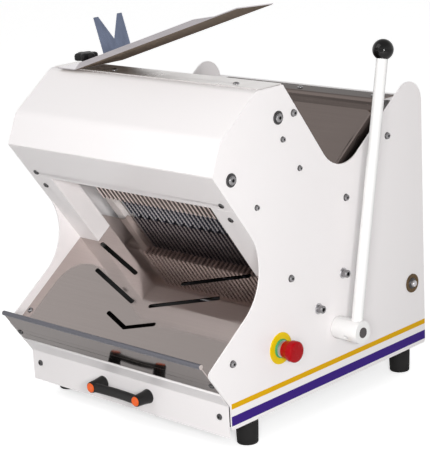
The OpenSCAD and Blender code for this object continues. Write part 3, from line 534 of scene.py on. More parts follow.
class SLICER_OT_stainless_sheet(bpy.types.Operator):
    """Sheet of the tray, apron, top, scoop, fork, chute, pusher and drawer pan"""

    bl_idname = "slicer.stainless_sheet"
    bl_label = "Stainless sheet"

    def execute(self, context):
        colours = colours_of(context)
        across = (5.0, 350.0, 350.0)
        rolled = {"rough": (0.03, 0.12), "stretch": across, "smear": 7.0, "share": 0.9, "bump": 0.02}
        sheet = brushed("polished_stainless", colours.stainless, **rolled)
        # Painted shade: faces of the tray that point down the slope, and the apron, take the darker apron
        # colour for dark reflections
        second_tone(sheet, along_mask(sheet, "Normal", -UP_BED, 0.6, 0.8), colours.apron)
        finish_nodes(sheet, "outfeed_tray")
        finish_nodes(brushed("apron_stainless", colours.apron, **rolled), "front_apron")
        along = (30.0, 4.0, 350.0)
        ground = {"smear": 12.0, "share": 0.88, "bump": 0.005, "metal": 0.75}
        top = brushed("top_stainless", colours.top, (0.24, 0.34), along, **ground)
        finish_nodes(top, "top_plate")
        scoop = brushed("scoop_stainless", colours.scoop, (0.05, 0.14), across, 12.0, share=0.8, bump=0.03)
        # Painted shade: the scoop's downward faces take the darker under colour and lose their gloss
        below = along_mask(scoop, "Normal", (0, 0, -1), 0.1, 0.3)
        second_tone(scoop, below, colours.under)
        dull_where(scoop, below)
        finish_nodes(scoop, "bag_scoop")
        upright = (90.0, 90.0, 5.0)
        fork = brushed("fork_stainless", colours.fork, (0.2, 0.34), upright, 24.0, share=0.55)
        finish_nodes(fork, "scoop_fork")
        chute = brushed("chute_stainless", colours.chute, (0.12, 0.24), across, rim=0.4)
        # Painted shade: the chute darkens to 40% of its colour up to 60 mm from the blades, fading out by
        # 160 mm
        saw = on_bed(0, SAW_U, 0).dot(UP_BED)
        shade_near_saw = along_mask(chute, "Object", -UP_BED, -saw - 160 * MM, -saw - 60 * MM)
        second_tone(chute, shade_near_saw, shade_of(colours.chute, 0.4))
        # Painted shade: the chute's upward faces, its flange, are darkened to 60% of its colour
        flange_shade = along_mask(chute, "Normal", (0, 0, 1), 0.88, 0.95)
        second_tone(chute, flange_shade, shade_of(colours.chute, 0.6))
        finish_nodes(chute, "infeed_chute")
        dull = brushed("dull_stainless", shade_of(colours.chute, 0.6), (0.3, 0.45), across)
        finish_nodes(dull, "pusher_plate")
        # Painted shade: the drawer pan is the chute's sheet at 20% of its colour and little metal, so the
        # tray's slots look dark
        pan = brushed("pan_shaded_stainless", shade_of(colours.chute, 0.2), (0.4, 0.55), across, metal=0.3)
        finish_nodes(pan, "drawer_pan")
        return {"FINISHED"}


class SLICER_OT_steel_parts(bpy.types.Operator):
    """Plated bars, shafts and bolts, blades, comb, enamelled frames and castings, and bronze"""

    bl_idname = "slicer.steel_parts"
    bl_label = "Steel parts"

    def execute(self, context):
        colours = colours_of(context)
        across = (60.0, 500.0, 500.0)
        upright = (500.0, 500.0, 30.0)
        zinc = brushed("zinc_steel", colours.zinc, (0.34, 0.48), across, 30.0, share=0.9)
        finish_nodes(zinc, "tie_bars", "side_bolts_right", "side_bolts_left", "stop_bolts", "drawer_screws")
        finish_nodes(zinc, "panel_screws", "crankshaft", "lever_shaft", "push_rod", "pusher_shaft")
        blade = brushed("blade_steel", colours.blade, (0.3, 0.42), upright, metal=0.4)
        finish_nodes(blade, "blades_front", "blades_rear")
        brushed("blade_ground", colours.ground, (0.28, 0.4), upright, metal=0.3)
        comb = brushed("comb_steel", colours.comb, (0.3, 0.45), across, 30.0, share=0.9, metal=0.4)
        # Painted shade: the comb's faces that point to +X are darkened to 24% of its colour
        second_tone(comb, along_mask(comb, "Normal", (1, 0, 0), 0.5, 0.8), shade_of(colours.comb, 0.24))
        finish_nodes(comb, "stripper_comb")
        pale = mottled("frame_enamel", colours.frame, (0.25, 0.4), 20.0, 500.0, share=0.93, bump=0.08)
        # Painted shade: the frames and guides between the posts take half the blades' colour
        second_tone(pale, middle_mask(pale, POST_X - 0.3, POST_X + 0.3), shade_of(colours.blade, 0.5))
        finish_nodes(pale, "blade_frame_front", "blade_frame_rear", "blade_guides")
        casting = mottled("casting_enamel", colours.casting, (0.4, 0.55), 20.0, 500.0, share=0.9, bump=0.2)
        finish_nodes(casting, "motor", "motor_shelf", "bearing_blocks", "lever_crank", "pusher_arms")
        finish_nodes(casting, "drawer_runners", "chute_crossbar")
        fine = (300.0, 300.0, 300.0)
        brushed("bolt_steel", shade_of(colours.zinc, 0.5), (0.2, 0.35), fine, 60.0)
        # Dark steel for washers, and a painted dark reflection on the screw domes that face out of the exit
        # face and on the drawer
        brushed("dark_washer_and_shaded_dome", shade_of(colours.zinc, 0.16), (0.3, 0.45), fine, 60.0)
        mottled("socket_shadow", colours.black, (0.5, 0.7), 90.0, 800.0, share=0.7, gloss=0.3)
        bronze = brushed("bronze", colours.bronze, (0.3, 0.45), (200.0, 200.0, 200.0), 40.0)
        finish_nodes(bronze, "shaft_bushes", "pivot_caps")
        return {"FINISHED"}


class SLICER_OT_plastic_parts(bpy.types.Operator):
    """Black, grey, red, yellow, green and orange mouldings, rubber and the bands"""

    bl_idname = "slicer.plastic_parts"
    bl_label = "Plastic parts"

    def execute(self, context):
        colours = colours_of(context)
        grain = {"broad": 30.0, "fine": 900.0, "share": 0.8, "bump": 0.25, "gloss": 0.25}
        black = mottled("black_plastic", colours.black, (0.4, 0.55), **grain)
        finish_nodes(black, "hub_plug", "drawer_handle", "estop_block", "clamp_knob", "cable_gland")
        finish_nodes(black, "motor_pulley", "crank_pulley")
        deep = shade_of(colours.black, 0.4)
        gloss = mottled("black_gloss", deep, (0.05, 0.1), 30.0, share=0.9, bump=0.01, gloss=0.3)
        finish_nodes(gloss, "lever_ball")
        mottled("trim_plastic", colours.trim, (0.3, 0.42), 20.0, 600.0, share=0.85, bump=0.08)
        mottled("grey_plastic", colours.plug, (0.45, 0.6), 60.0, 700.0, share=0.85, gloss=0.2)
        matt = {"broad": 40.0, "fine": 700.0, "share": 0.8, "bump": 0.3, "gloss": 0.2}
        rubber = mottled("black_rubber", colours.rubber, (0.6, 0.8), **matt)
        finish_nodes(rubber, "feet", "drive_belt")
        red = mottled("red_plastic", colours.red, (0.22, 0.32), 40.0, share=0.9, bump=0.02, gloss=0.13)
        finish_nodes(red, "estop_button")
        smooth = {"broad": 40.0, "fine": 500.0, "gloss": 0.2}
        yellow = mottled("yellow_plastic", colours.yellow, (0.35, 0.45), bump=0.03, **smooth)
        finish_nodes(yellow, "estop_disc")
        green = mottled("green_plastic", colours.green, (0.4, 0.5), share=0.9, bump=0.05, **smooth)
        finish_nodes(green, "estop_collar")
        orange = mottled("orange_plastic", colours.orange, (0.3, 0.4), 40.0, 500.0, share=0.92, bump=0.03)
        finish_nodes(orange, "handle_caps")
        band = {"rough": (0.28, 0.36), "broad": 8.0, "fine": 420.0, "bump": 0.03, "gloss": 0.08}
        upper_band = mottled("yellow_band", colours.band_yellow, share=0.96, **band)
        finish_nodes(upper_band, "stripes_yellow")
        lower_band = mottled("purple_band", colours.band_purple, share=0.92, **band)
        finish_nodes(lower_band, "stripes_purple")
        return {"FINISHED"}


# Each bolt's place on the bed, the radius of its head and the thickness that it holds behind the plate
BOLTS = (
    (55, -35, 6, 2),
    (258, -39, 6, 2),
    (461, -42, 6, 0),
    (622, -43, 6, 0),
    (279, 134, 4.5, 3),
    (405, 177, 4.5, 3),
    (404, 102, 4.5, 3),
    (456, 192.4, 6, 0),
)
NUT_RADIUS, NUT_DEPTH = 7, 4
# Each tie bar's place on the bed
TIES = ((265, 222), (421, 216.4))
# Each stop bolt's place from the lever's axis
STOP_BOLTS = ((20.2, 102.2), (-55.7, 51.7))


class SLICER_OT_side_bolts(bpy.types.Operator):
    """Socket bolts with washers on the side plates, the tie bars and the stop bolts"""

    bl_idname = "slicer.side_bolts"
    bl_label = "Side bolts"

    def execute(self, context):
        finishes = [finish("bolt_steel"), finish("dark_washer_and_shaded_dome"), finish("socket_shadow")]
        for side, node in ((1, "side_bolts_right"), (-1, "side_bolts_left")):
            bm = bmesh.new()
            axis = (side, 0, 0)
            for u, t, radius, held in BOLTS:
                place = on_bed(side * X_OUT, u, t)
                shank = [(0, -11), (4, -11), (4, 0)]
                turned(bm, shank, place, axis, 24)
                washer = [(4, 0), (radius + 1, 0), (radius + 1, 0.8), (radius + 0.7, 1.1), (radius, 1.1)]
                turned(bm, washer, place, axis, 32, material=1)
                mouth = radius * 0.4
                head = [(radius, 1.1), (radius, 3.4), (radius - 0.5, 4.4), (radius - 1.5, 5), (mouth, 5)]
                turned(bm, head, place, axis)
                socket = [(mouth, 5), (radius * 0.36, 4.7), (radius * 0.36, 2.4), (0, 2.4)]
                turned(bm, socket, place, axis, 32, material=2)
                behind = X_OUT - X_IN + held + NUT_DEPTH
                hexagon(bm, place - Vector(axis) * behind * MM, axis, NUT_RADIUS, NUT_DEPTH)
            make_piece(bm, node + "_detail", "base", finishes, node)

        bm = bmesh.new()
        for u, t in TIES:
            turned(bm, [(8, -X_IN), (8, X_IN)], on_bed(0, u, t), (1, 0, 0))
            for side in (1, -1):
                place = on_bed(side * X_OUT, u, t)
                axis = (side, 0, 0)
                turned(bm, [(8, -3), (0, -3)], place, axis)
                turned(bm, [(0, 0), (12.5, 0), (12.5, 1.4), (12, 2), (8.6, 2)], place, axis, 40, material=1)
                turned(bm, [(8.6, 2), (8.4, 3.6), (7.6, 4.8), (5.8, 5.6), (3.2, 6)], place, axis)
                turned(bm, [(3.2, 6), (2.8, 5.6), (2.8, 3), (0, 3)], place, axis, 32, material=2)
        make_piece(bm, "tie_bars_detail", "base", finishes, "tie_bars")

        bm = bmesh.new()
        axis = (1, 0, 0)
        for y, z in STOP_BOLTS:
            place = at(X_OUT, LEVER.y + y, LEVER.z + z)
            turned(bm, [(0, -25), (5, -25), (5, 0)], place, axis)
            turned(bm, [(5, -6), (9, -6), (9, -3), (5, -3)], place, axis)
            turned(bm, [(5, 0), (10.5, 0), (10.5, 1.4), (10, 2), (7.5, 2)], place, axis, 40)
            turned(bm, [(7.5, 2), (7.5, 12.2), (6.8, 13)], place, axis, 40, material=1)
            turned(bm, [(6.8, 13), (4, 13)], place, axis, 40, material=1)
            turned(bm, [(4, 13), (3.8, 12.6), (3.8, 8), (0, 8)], place, axis, 40, material=2)
        bright = [finish("zinc_steel"), finish("bolt_steel"), finish("socket_shadow")]
        make_piece(bm, "stop_bolts_detail", "base", bright, "stop_bolts")
        return {"FINISHED"}


SET_SCREW_X, SET_SCREW_TURN = 34, math.radians(115)


class SLICER_OT_pivot_caps(bpy.types.Operator):
    """Dished bronze washers with domed bolts over the shaft ends, and the hub's plug and set screw"""

    bl_idname = "slicer.pivot_caps"
    bl_label = "Pivot caps"

    def execute(self, context):
        finishes = [finish("bronze"), finish("dark_washer_and_shaded_dome"), finish("zinc_steel")]
        bm = bmesh.new()
        for side, spot in ((1, PIVOT), (-1, PIVOT), (-1, LEVER)):
            place = at(side * X_OUT, spot.y, spot.z)
            axis = (side, 0, 0)
            dish = [(0, 0), (19, 0), (19, 2.2), (18.4, 3), (17.4, 3), (11, 1.6)]
            turned(bm, dish, place, axis, 48)
            ring = [(11, 1.6), (10.6, 2.6), (9.6, 3.2), (7, 3.4)]
            turned(bm, ring, place, axis, 40, material=1)
            dome = [(7, 3.4), (6.8, 6), (6, 8.2), (4.4, 9.5), (2.2, 10), (0, 10)]
            turned(bm, dome, place, axis, 40, material=2)
        make_piece(bm, "pivot_caps_detail", "base", finishes, "pivot_caps")
        bm = bmesh.new()
        hub_end = at(X_OUT + HUB_LENGTH, LEVER.y, LEVER.z)
        plug = [(0, -6), (10, -6), (10, 1.4), (9.4, 2), (0, 2)]
        turned(bm, plug, hub_end, (1, 0, 0), 48)
        make_piece(bm, "hub_plug_detail", "lever", [finish("grey_plastic")], "hub_plug")
        bm = bmesh.new()
        outward = Vector((0, -math.sin(SET_SCREW_TURN), math.cos(SET_SCREW_TURN)))
        hub_middle = at(X_OUT + SET_SCREW_X, LEVER.y, LEVER.z)
        screw = [(0, 11.2), (4.8, 11.2), (4.8, 15.4), (4.2, 16), (2.4, 16), (2.2, 13), (0, 13)]
        turned(bm, screw, hub_middle, outward)
        make_piece(bm, "hub_set_screw", "lever", [finish("socket_shadow")])
        return {"FINISHED"}


# Screws of the exit guards, the lip and the tray on the bed, then of the chute's rim, the top and the drawer
GUARD_SCREW_X, GUARD_SCREWS_T = 246.1, (EXIT_T + 13, EXIT_T - 25)
LIP_SCREW_X, LIP_SCREW_T = X_IN - 8, FLOOR_T - 15
TRAY_SCREW_X, TRAY_SCREW_U = X_IN - 10, 45
RIM_SCREWS_X, RIM_Y = (-190, 0, 190), 541
TOP_SCREWS_X, TOP_Y = (-120, X_IN - 72), V_TOP - 40
FACE_SCREW_X, FACE_SCREW_Z = 244, 22


class SLICER_OT_sheet_screws(bpy.types.Operator):
    """Pan-head screws on the panels, the tray and the drawer front"""

    bl_idname = "slicer.sheet_screws"
    bl_label = "Sheet screws"

    def execute(self, context):
        finishes = [finish("bolt_steel"), finish("socket_shadow"), finish("dark_washer_and_shaded_dome")]
        out_of_face = -UP_BED
        upward = Vector((0, 0, 1))
        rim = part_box("infeed_chute")[1].z
        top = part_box("top_plate")[1].z
        spots = []
        for side in (1, -1):
            for t in GUARD_SCREWS_T:
                spots.append((on_bed(side * GUARD_SCREW_X, EXIT_U, t), out_of_face))
            spots.append((on_bed(side * LIP_SCREW_X, 0, LIP_SCREW_T), out_of_face))
            spots.append((on_bed(side * TRAY_SCREW_X, TRAY_SCREW_U, FLOOR_T), OFF_BED))
        for x in RIM_SCREWS_X:
            spots.append((self.on_sheet(x, RIM_Y, rim), upward))
        for x in TOP_SCREWS_X:
            spots.append((self.on_sheet(x, TOP_Y, top), upward))
        bm = bmesh.new()
        for place, axis in spots:
            # Painted reflection: domes facing out of the exit face take the dark steel, the others the
            # lighter steel
            tone = 2 if axis == out_of_face else 0
            self.screw(bm, place, axis, height=2.5, shank=5, tone=tone)
        make_piece(bm, "panel_screws_detail", "base", finishes, "panel_screws")
        bm = bmesh.new()
        nut = [(0, 6), (6, 6), (6, 2), (3, 2), (3, 0)]
        for side in (1, -1):
            corner = at(side * FACE_SCREW_X, FACE_Y, FACE_SCREW_Z)
            # Painted reflection: the drawer's screw domes take the dark steel
            self.screw(bm, corner, (0, -1, 0), height=3, shank=2, tone=2)
            turned(bm, nut, at(side * HANDLE_X, FACE_Y, HANDLE_Z), (0, 1, 0))
            turned(bm, nut, corner, (0, 1, 0))
        make_piece(bm, "drawer_screws_detail", "drawer", finishes, "drawer_screws")
        return {"FINISHED"}

    @staticmethod
    def on_sheet(x, y, height):
        """A place on a level sheet whose height in the scene is known."""
        place = at(x, y, 0)
        return Vector((place.x, place.y, height))

    @staticmethod
    def screw(bm, place, axis, height, shank, tone, radius=6):
        """A domed head of a tone with a recess, on its shank."""
        turned(bm, [(0, -shank), (3, -shank), (3, 0)], place, axis, 24)
        mouth = radius * 0.36
        dome = [(3, 0), (radius, 0), (radius, height * 0.3), (radius * 0.9, height * 0.7)]
        turned(bm, [*dome, (radius * 0.66, height), (mouth, height)], place, axis, 32, material=tone)
        recess = [(mouth, height), (radius * 0.3, height * 0.4), (0, height * 0.4)]
        turned(bm, recess, place, axis, 32, material=1)


# Rings of the clamp knob from below: radius, depth of the lobes and height
KNOB_RINGS = (
    (8, 0, 8),
    (17, 2.4, 8),
    (19.5, 3.2, 9.2),
    (20, 3.6, 12),
    (20, 3.6, 18),
    (19, 3.2, 21),
    (16.5, 2.4, 22.6),
    (8, 0.4, 23),
)
KNOB_LOBES = 6
KNOB_HEIGHT = KNOB_RINGS[-1][2]
TUBE_X, TUBE_RADIUS = 44, 11
LEVER_REACH = 530


class SLICER_OT_lever_ball(bpy.types.Operator):
    """Ball of the lever with its moulding seam, and the lobed clamp knob"""

    bl_idname = "slicer.lever_ball"
    bl_label = "Lever ball"

    def execute(self, context):
        ball = context.scene.slicer_sizes.ball / MM
        lean = Vector((0, math.sin(LEVER_LEAN), math.cos(LEVER_LEAN)))
        middle = at(X_OUT + TUBE_X, LEVER.y, LEVER.z) + lean * LEVER_REACH * MM
        profile = [(TUBE_RADIUS, -16.7)]
        profile.extend(self.arc(ball, -56, -1, 12))
        profile.extend([(ball - 0.04, -0.25), (ball - 0.3, 0), (ball - 0.04, 0.25)])
        profile.extend(self.arc(ball, 1.5, 90, 18))
        bm = bmesh.new()
        turned(bm, profile, middle, lean, 64)
        make_piece(bm, "lever_ball_detail", "lever", [finish("black_gloss")], "lever_ball")

        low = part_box("clamp_knob")[0]
        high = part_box("clamp_knob")[1]
        place = Vector(((low.x + high.x) / 2, (low.y + high.y) / 2, high.z - KNOB_HEIGHT * MM))
        up = (0, 0, 1)
        bm = bmesh.new()
        turned(bm, [(0, -16), (4, -16), (4, 0), (8.5, 0), (8.5, 1), (8, 8)], place, up)
        rings = []
        for radius, lobe, height in KNOB_RINGS:
            ring = bmesh.ops.create_circle(
                bm, segments=72, radius=radius * MM, matrix=Matrix.Translation(place)
            )
            for vert in ring["verts"]:
                out = vert.co - place
                wave = lobe * math.cos(KNOB_LOBES * math.atan2(out.y, out.x))
                vert.co = place + out * (1 + wave / radius) + Vector((0, 0, height)) * MM
            rings.append({edge for vert in ring["verts"] for edge in vert.link_edges})
        for lower, upper in zip(rings, rings[1:]):
            bmesh.ops.bridge_loops(bm, edges=list(lower | upper))
        bmesh.ops.contextual_create(bm, geom=list(rings[-1]))
        make_piece(bm, "clamp_knob_detail", "knob", [finish("black_plastic")], "clamp_knob")
        return {"FINISHED"}

    @staticmethod
    def arc(radius, first, last, steps):
        """Points of an arc between two angles in degrees, for a turned body."""
        angles = [math.radians(first + step * (last - first) / steps) for step in range(steps + 1)]
        return [(radius * math.cos(angle), radius * math.sin(angle)) for angle in angles]


class SLICER_OT_drawer_handle(bpy.types.Operator):
    """Bridge handle of the drawer with its orange plugs"""

    bl_idname = "slicer.drawer_handle"
    bl_label = "Drawer handle"

    def execute(self, context):
        bm = bmesh.new()
        post = [(0, 0), (14, 0), (14, 1.4), (13.2, 5), (12, 16), (11.2, 28), (11, 32), (10.4, 33.6)]
        post.extend([(9.8, 34), (9.4, 34), (9.2, 33), (0, 33)])
        for side in (1, -1):
            turned(bm, post, at(side * HANDLE_X, FACE_Y, HANDLE_Z), (0, -1, 0), 40)
        bar_out, sag, half_depth, half_height = 28, 3.2, 5.6, 8.6
        bar_steps = 12
        ends = []
        for step in range(bar_steps + 1):
            x = -HANDLE_X + step * 2 * HANDLE_X / bar_steps
            bow = sag * (1 - (x / HANDLE_X) ** 2)
            centre = at(x, FACE_Y - bar_out + bow, HANDLE_Z)
            upright = Matrix.Translation(centre) @ Matrix.Rotation(math.pi / 2, 4, "Y")
            ring = bmesh.ops.create_circle(bm, segments=24, radius=MM, matrix=upright)
            for vert in ring["verts"]:
                out = (vert.co - centre) / MM
                flat = 1 / (abs(out.y) ** 4 + abs(out.z) ** 4) ** 0.25
                vert.co = centre + Vector((0, out.y * flat * half_depth, out.z * flat * half_height)) * MM
            ends.append({edge for vert in ring["verts"] for edge in vert.link_edges})
        for first, second in zip(ends, ends[1:]):
            bmesh.ops.bridge_loops(bm, edges=list(first | second))
        make_piece(bm, "drawer_handle_detail", "drawer", [finish("black_plastic")], "drawer_handle")
        bm = bmesh.new()
        plug = [(0, 33), (9.2, 33), (9.2, 34.6), (8.6, 35.3), (7, 35.5), (3, 35.5), (2.4, 35.2), (0, 35.2)]
        for side in (1, -1):
            turned(bm, plug, at(side * HANDLE_X, FACE_Y, HANDLE_Z), (0, -1, 0), 40)
        make_piece(bm, "handle_caps_detail", "drawer", [finish("orange_plastic")], "handle_caps")
        return {"FINISHED"}


class SLICER_OT_stop_button(bpy.types.Operator):
    """Red mushroom button over its green collar on a plain yellow disc"""

    bl_idname = "slicer.stop_button"
    bl_label = "Stop button"

    def execute(self, context):
        place = at(X_OUT, STOP.y, STOP.z)
        axis = (1, 0, 0)
        bm = bmesh.new()
        disc = context.scene.slicer_sizes.disc / MM
        turned(bm, [(9, 0), (disc, 0), (disc, 1.4), (disc - 0.6, 2), (9, 2), (9, 0)], place, axis, 64)
        make_piece(bm, "estop_disc_detail", "base", [finish("yellow_plastic")], "estop_disc")
        bm = bmesh.new()
        collar = [(7.1, 2), (18, 2), (18, 4), (17.2, 5.2), (15.6, 5.6)]
        turned(bm, collar, place, axis, 56)
        sleeve = [(15.6, 5.6), (15.6, 6.2), (15, 6.6), (13.6, 6.6), (13.6, 13.4)]
        turned(bm, sleeve, place, axis, 56, material=1)
        turned(bm, [(13.6, 13.4), (13, 14), (7.1, 14), (7.1, 2)], place, axis, 56, material=1)
        rings = [finish("green_plastic"), finish("zinc_steel")]
        make_piece(bm, "estop_collar_detail", "base", rings, "estop_collar")
        bm = bmesh.new()
        head = [(0, -10), (7, -10), (7, 20), (14.2, 20), (14.2, 12.8), (14.6, 12.4)]
        head.extend([(16, 12.4), (16.4, 12.8), (16.6, 18), (17.4, 22), (19, 25.6), (19.8, 27.4)])
        head.extend([(20, 29), (20, 36), (19.6, 38), (18.6, 39.3), (17, 39.8), (12, 40), (0, 40)])
        turned(bm, head, place, axis, 64)
        make_piece(bm, "estop_button_detail", "stop_button", [finish("red_plastic")], "estop_button")
        return {"FINISHED"}


FEET_X, FEET_Y = 244, (70, 534)


class SLICER_OT_rubber_feet(bpy.types.Operator):
    """Ribbed rubber feet with a steel washer on top"""

    bl_idname = "slicer.rubber_feet"
    bl_label = "Rubber feet"

    def execute(self, context):
        finishes = [finish("black_rubber"), finish("zinc_steel")]
        height = PLATE_LOW.z / MM
        foot = [(0, 0), (18, 0), (19.4, 0.6), (20, 2), (20.2, 6), (19.6, 6.8), (19.6, 8.2), (20.3, 9)]
        foot.extend([(21.4, height - 9), (20.8, height - 8), (20.8, height - 6.6)])
        foot.extend([(21.6, height - 5.6), (22, height - 3), (21.4, height - 1.4), (19, height - 1.2)])
        washer = [(19, height - 1.2), (18.6, height), (4, height), (4, height + 3), (0, height + 3)]
        bm = bmesh.new()
        for side in (1, -1):
            for y in FEET_Y:
                place = Vector((MIDDLE_X + side * FEET_X * MM, y * MM + SHIFT.y, 0))
                turned(bm, foot, place, (0, 0, 1), 48)
                turned(bm, washer, place, (0, 0, 1), 48, material=1)
        make_piece(bm, "feet_detail", "base", finishes, "feet")
        return {"FINISHED"}


BLADE_T = (-42, 194)
BLADE_END = 23
BLADE_PITCH = 12
BLADE_THICK = 1
BLADE_FRONT = 7
GROUND_WIDTH = 3


class SLICER_OT_blades(bpy.types.Operator):
    """Blades with scalloped cutting edges"""

    bl_idname = "slicer.blades"
    bl_label = "Blades"

    def execute(self, context):
        scallop = context.scene.slicer_sizes.scallop / MM
        bite = context.scene.slicer_sizes.bite / MM
        low_t, high_t = BLADE_T
        edge = SAW_U - BLADE_FRONT
        for node, body, narrow, back, first in (
            ("blades_front", "front_saw", edge, SAW_U + 0.9, 14),
            ("blades_rear", "rear_saw", SAW_U - 1, SAW_U + 6.9, 15),
        ):
            bm = bmesh.new()
            for index in range(-first, first + 1, 2):
                x = index * BLADE_PITCH
                strip = bmesh.ops.create_grid(bm, x_segments=118, y_segments=2, size=0.5)
                for vert in strip["verts"]:
                    t = low_t + (vert.co.x + 0.5) * (high_t - low_t)
                    u = edge if low_t + BLADE_END < t < high_t - BLADE_END else narrow
                    hollow = bite * abs(math.sin(math.pi * t / scallop))
                    rows = (u + 0.1 + hollow, u + GROUND_WIDTH, back)
                    vert.co = on_bed(x - BLADE_THICK / 2, rows[round(vert.co.y * 2) + 1], t)
                faces = {face for vert in strip["verts"] for face in vert.link_faces}
                bm.normal_update()
                bmesh.ops.solidify(bm, geom=list(faces), thickness=BLADE_THICK * MM)
            for face in bm.faces:
                along = (face.calc_center_median() - on_bed(0, edge, 0)).dot(UP_BED)
                face.material_index = 1 if along < (GROUND_WIDTH - 0.1) * MM else 0
            steels = [finish("blade_steel"), finish("blade_ground")]
            make_piece(bm, node + "_detail", body, steels, node)
        return {"FINISHED"}


LIP_HEIGHT = 46


class SLICER_OT_lip_trim(bpy.types.Operator):
    """Dark edge trim along the lip of the tray"""

    bl_idname = "slicer.lip_trim"
    bl_label = "Lip trim"

    def execute(self, context):
        radius = context.scene.slicer_sizes.trim / MM
        reach = X_IN - 0.6
        half = [(0, -reach), (radius - 0.5, -reach), (radius, -reach + 0.6)]
        other = [(radius, reach - 0.6), (radius - 0.5, reach), (0, reach)]
        bm = bmesh.new()
        turned(bm, half + other, on_bed(0, 2.25, FLOOR_T + LIP_HEIGHT - 4.5), (1, 0, 0), 32)
        make_piece(bm, "lip_trim", "base", [finish("trim_plastic")])
        return {"FINISHED"}


SOFT_EDGED = (
    "side_plate_right", "side_plate_left", "front_cover", "exit_panel", "exit_guard_right",
    "exit_guard_left", "drawer_front", "top_plate", "front_apron", "bag_scoop", "scoop_fork",
    "infeed_chute", "lever_hub", "cable_gland",
)


class SLICER_OT_soft_edges(bpy.types.Operator):
    """Small roundings on the edges of the sheet-metal and moulded parts"""

    bl_idname = "slicer.soft_edges"
    bl_label = "Soft edges"

    width: length("Width", "Width of a rounding", 0.6)
    segments: IntProperty(
        name="Segments", description="Steps across a rounding", default=2, min=1, max=6
    )

    def execute(self, context):
        for name in SOFT_EDGED:
            node = nodes[name]
            weld = node.modifiers.new("weld", "WELD")
            weld.merge_threshold = 0.01 * MM
            bevel = node.modifiers.new("bevel", "BEVEL")
            bevel.width = self.width
            bevel.segments = self.segments
            bevel.limit_method = "ANGLE"
            bevel.angle_limit = math.radians(40)
            bevel.harden_normals = True
        return {"FINISHED"}


def add_lamp(name, place, aim, size, watts, mirrored=True):
    """A square area lamp aimed at a point, which gloss may mirror."""
    data = bpy.data.lights.new(name, "AREA")
    data.size = size
    data.energy = watts
    lamp = bpy.data.objects.new(name, data)
    lamp.location = place
    lamp.visible_glossy = mirrored
    lamp.rotation_euler = (Vector(aim) - Vector(place)).to_track_quat("-Z", "Y").to_euler()
    bpy.context.scene.collection.objects.link(lamp)


def studio_world(level):
    """White light from all round, which eye and gloss see brighter than matt surfaces do."""
    world = bpy.data.worlds.new("Studio")
    world.use_nodes = True
    tree = world.node_tree
    around = tree.nodes["Background"]
    around.inputs["Color"].default_value = (1, 1, 1, 1)
    around.inputs["Strength"].default_value = level
    seen = new_node(tree, "Background", {"Color": (1, 1, 1, 1)})
    path = new_node(tree, "LightPath")
    aim = new_node(tree, "TexCoord")
    split = new_node(tree, "SeparateXYZ")
    fall = new_node(tree, "MapRange", {"From Min": 0.25, "From Max": 0.8, "To Min": 1.0, "To Max": 0.5})
    strength = new_node(tree, "Math", operation="MAXIMUM")
    either = new_node(tree, "Math", operation="MAXIMUM")
    glass = new_node(tree, "Math", operation="MAXIMUM")
    mix = new_node(tree, "MixShader")
    wire(
        tree,
        (aim, "Generated", split, "Vector"),
        (split, "Z", fall, "Value"),
        (fall, "Result", strength, 0),
        (path, "Is Camera Ray", strength, 1),
        (strength, "Value", seen, "Strength"),
        (path, "Is Camera Ray", either, 0),
        (path, "Is Glossy Ray", either, 1),
        (either, "Value", glass, 0),
        (path, "Is Transmission Ray", glass, 1),
        (glass, "Value", mix, "Fac"),
        (around, "Background", mix, 1),
        (seen, "Background", mix, 2),
        (mix, "Shader", tree.nodes["World Output"], "Surface"),
    )
    return world


def floor_paper():
    """Pale paper that eye and gloss see as white, and that lights the part no more than grey paper does."""
    made, tree, shader = blank_material("floor_paper")
    shader.inputs["Base Color"].default_value = (0.9, 0.9, 0.9, 1)
    shader.inputs["Roughness"].default_value = 0.9
    glow = new_node(tree, "Emission")
    bright = new_node(tree, "MapRange", {"To Min": 0.3, "To Max": 0.6})
    dim = new_node(tree, "BsdfDiffuse", {"Color": (0.4, 0.4, 0.4, 1)})
    add = new_node(tree, "AddShader")
    path = new_node(tree, "LightPath")
    either = new_node(tree, "Math", operation="MAXIMUM")
    shown = new_node(tree, "MixShader")
    wire(
        tree,
        (shader, "BSDF", add, 0),
        (glow, "Emission", add, 1),
        (path, "Is Camera Ray", bright, "Value"),
        (bright, "Result", glow, "Strength"),
        (path, "Is Camera Ray", either, 0),
        (path, "Is Glossy Ray", either, 1),
        (either, "Value", shown, "Fac"),
        (dim, "BSDF", shown, 1),
        (add, "Shader", shown, 2),
        (shown, "Shader", tree.nodes["Material Output"], "Surface"),
    )
    return made


CAMERA_PLACE = (2117.37, -1942.97, 1102.84)
CAMERA_RIGHT = Vector((0.73047, 0.68111, -0.05009))
CAMERA_AHEAD = Vector((-0.66809, 0.69745, -0.25926))
CAMERA_LENS, CAMERA_SENSOR = 128.6, 36
FLOOR_SIZE = 8.0


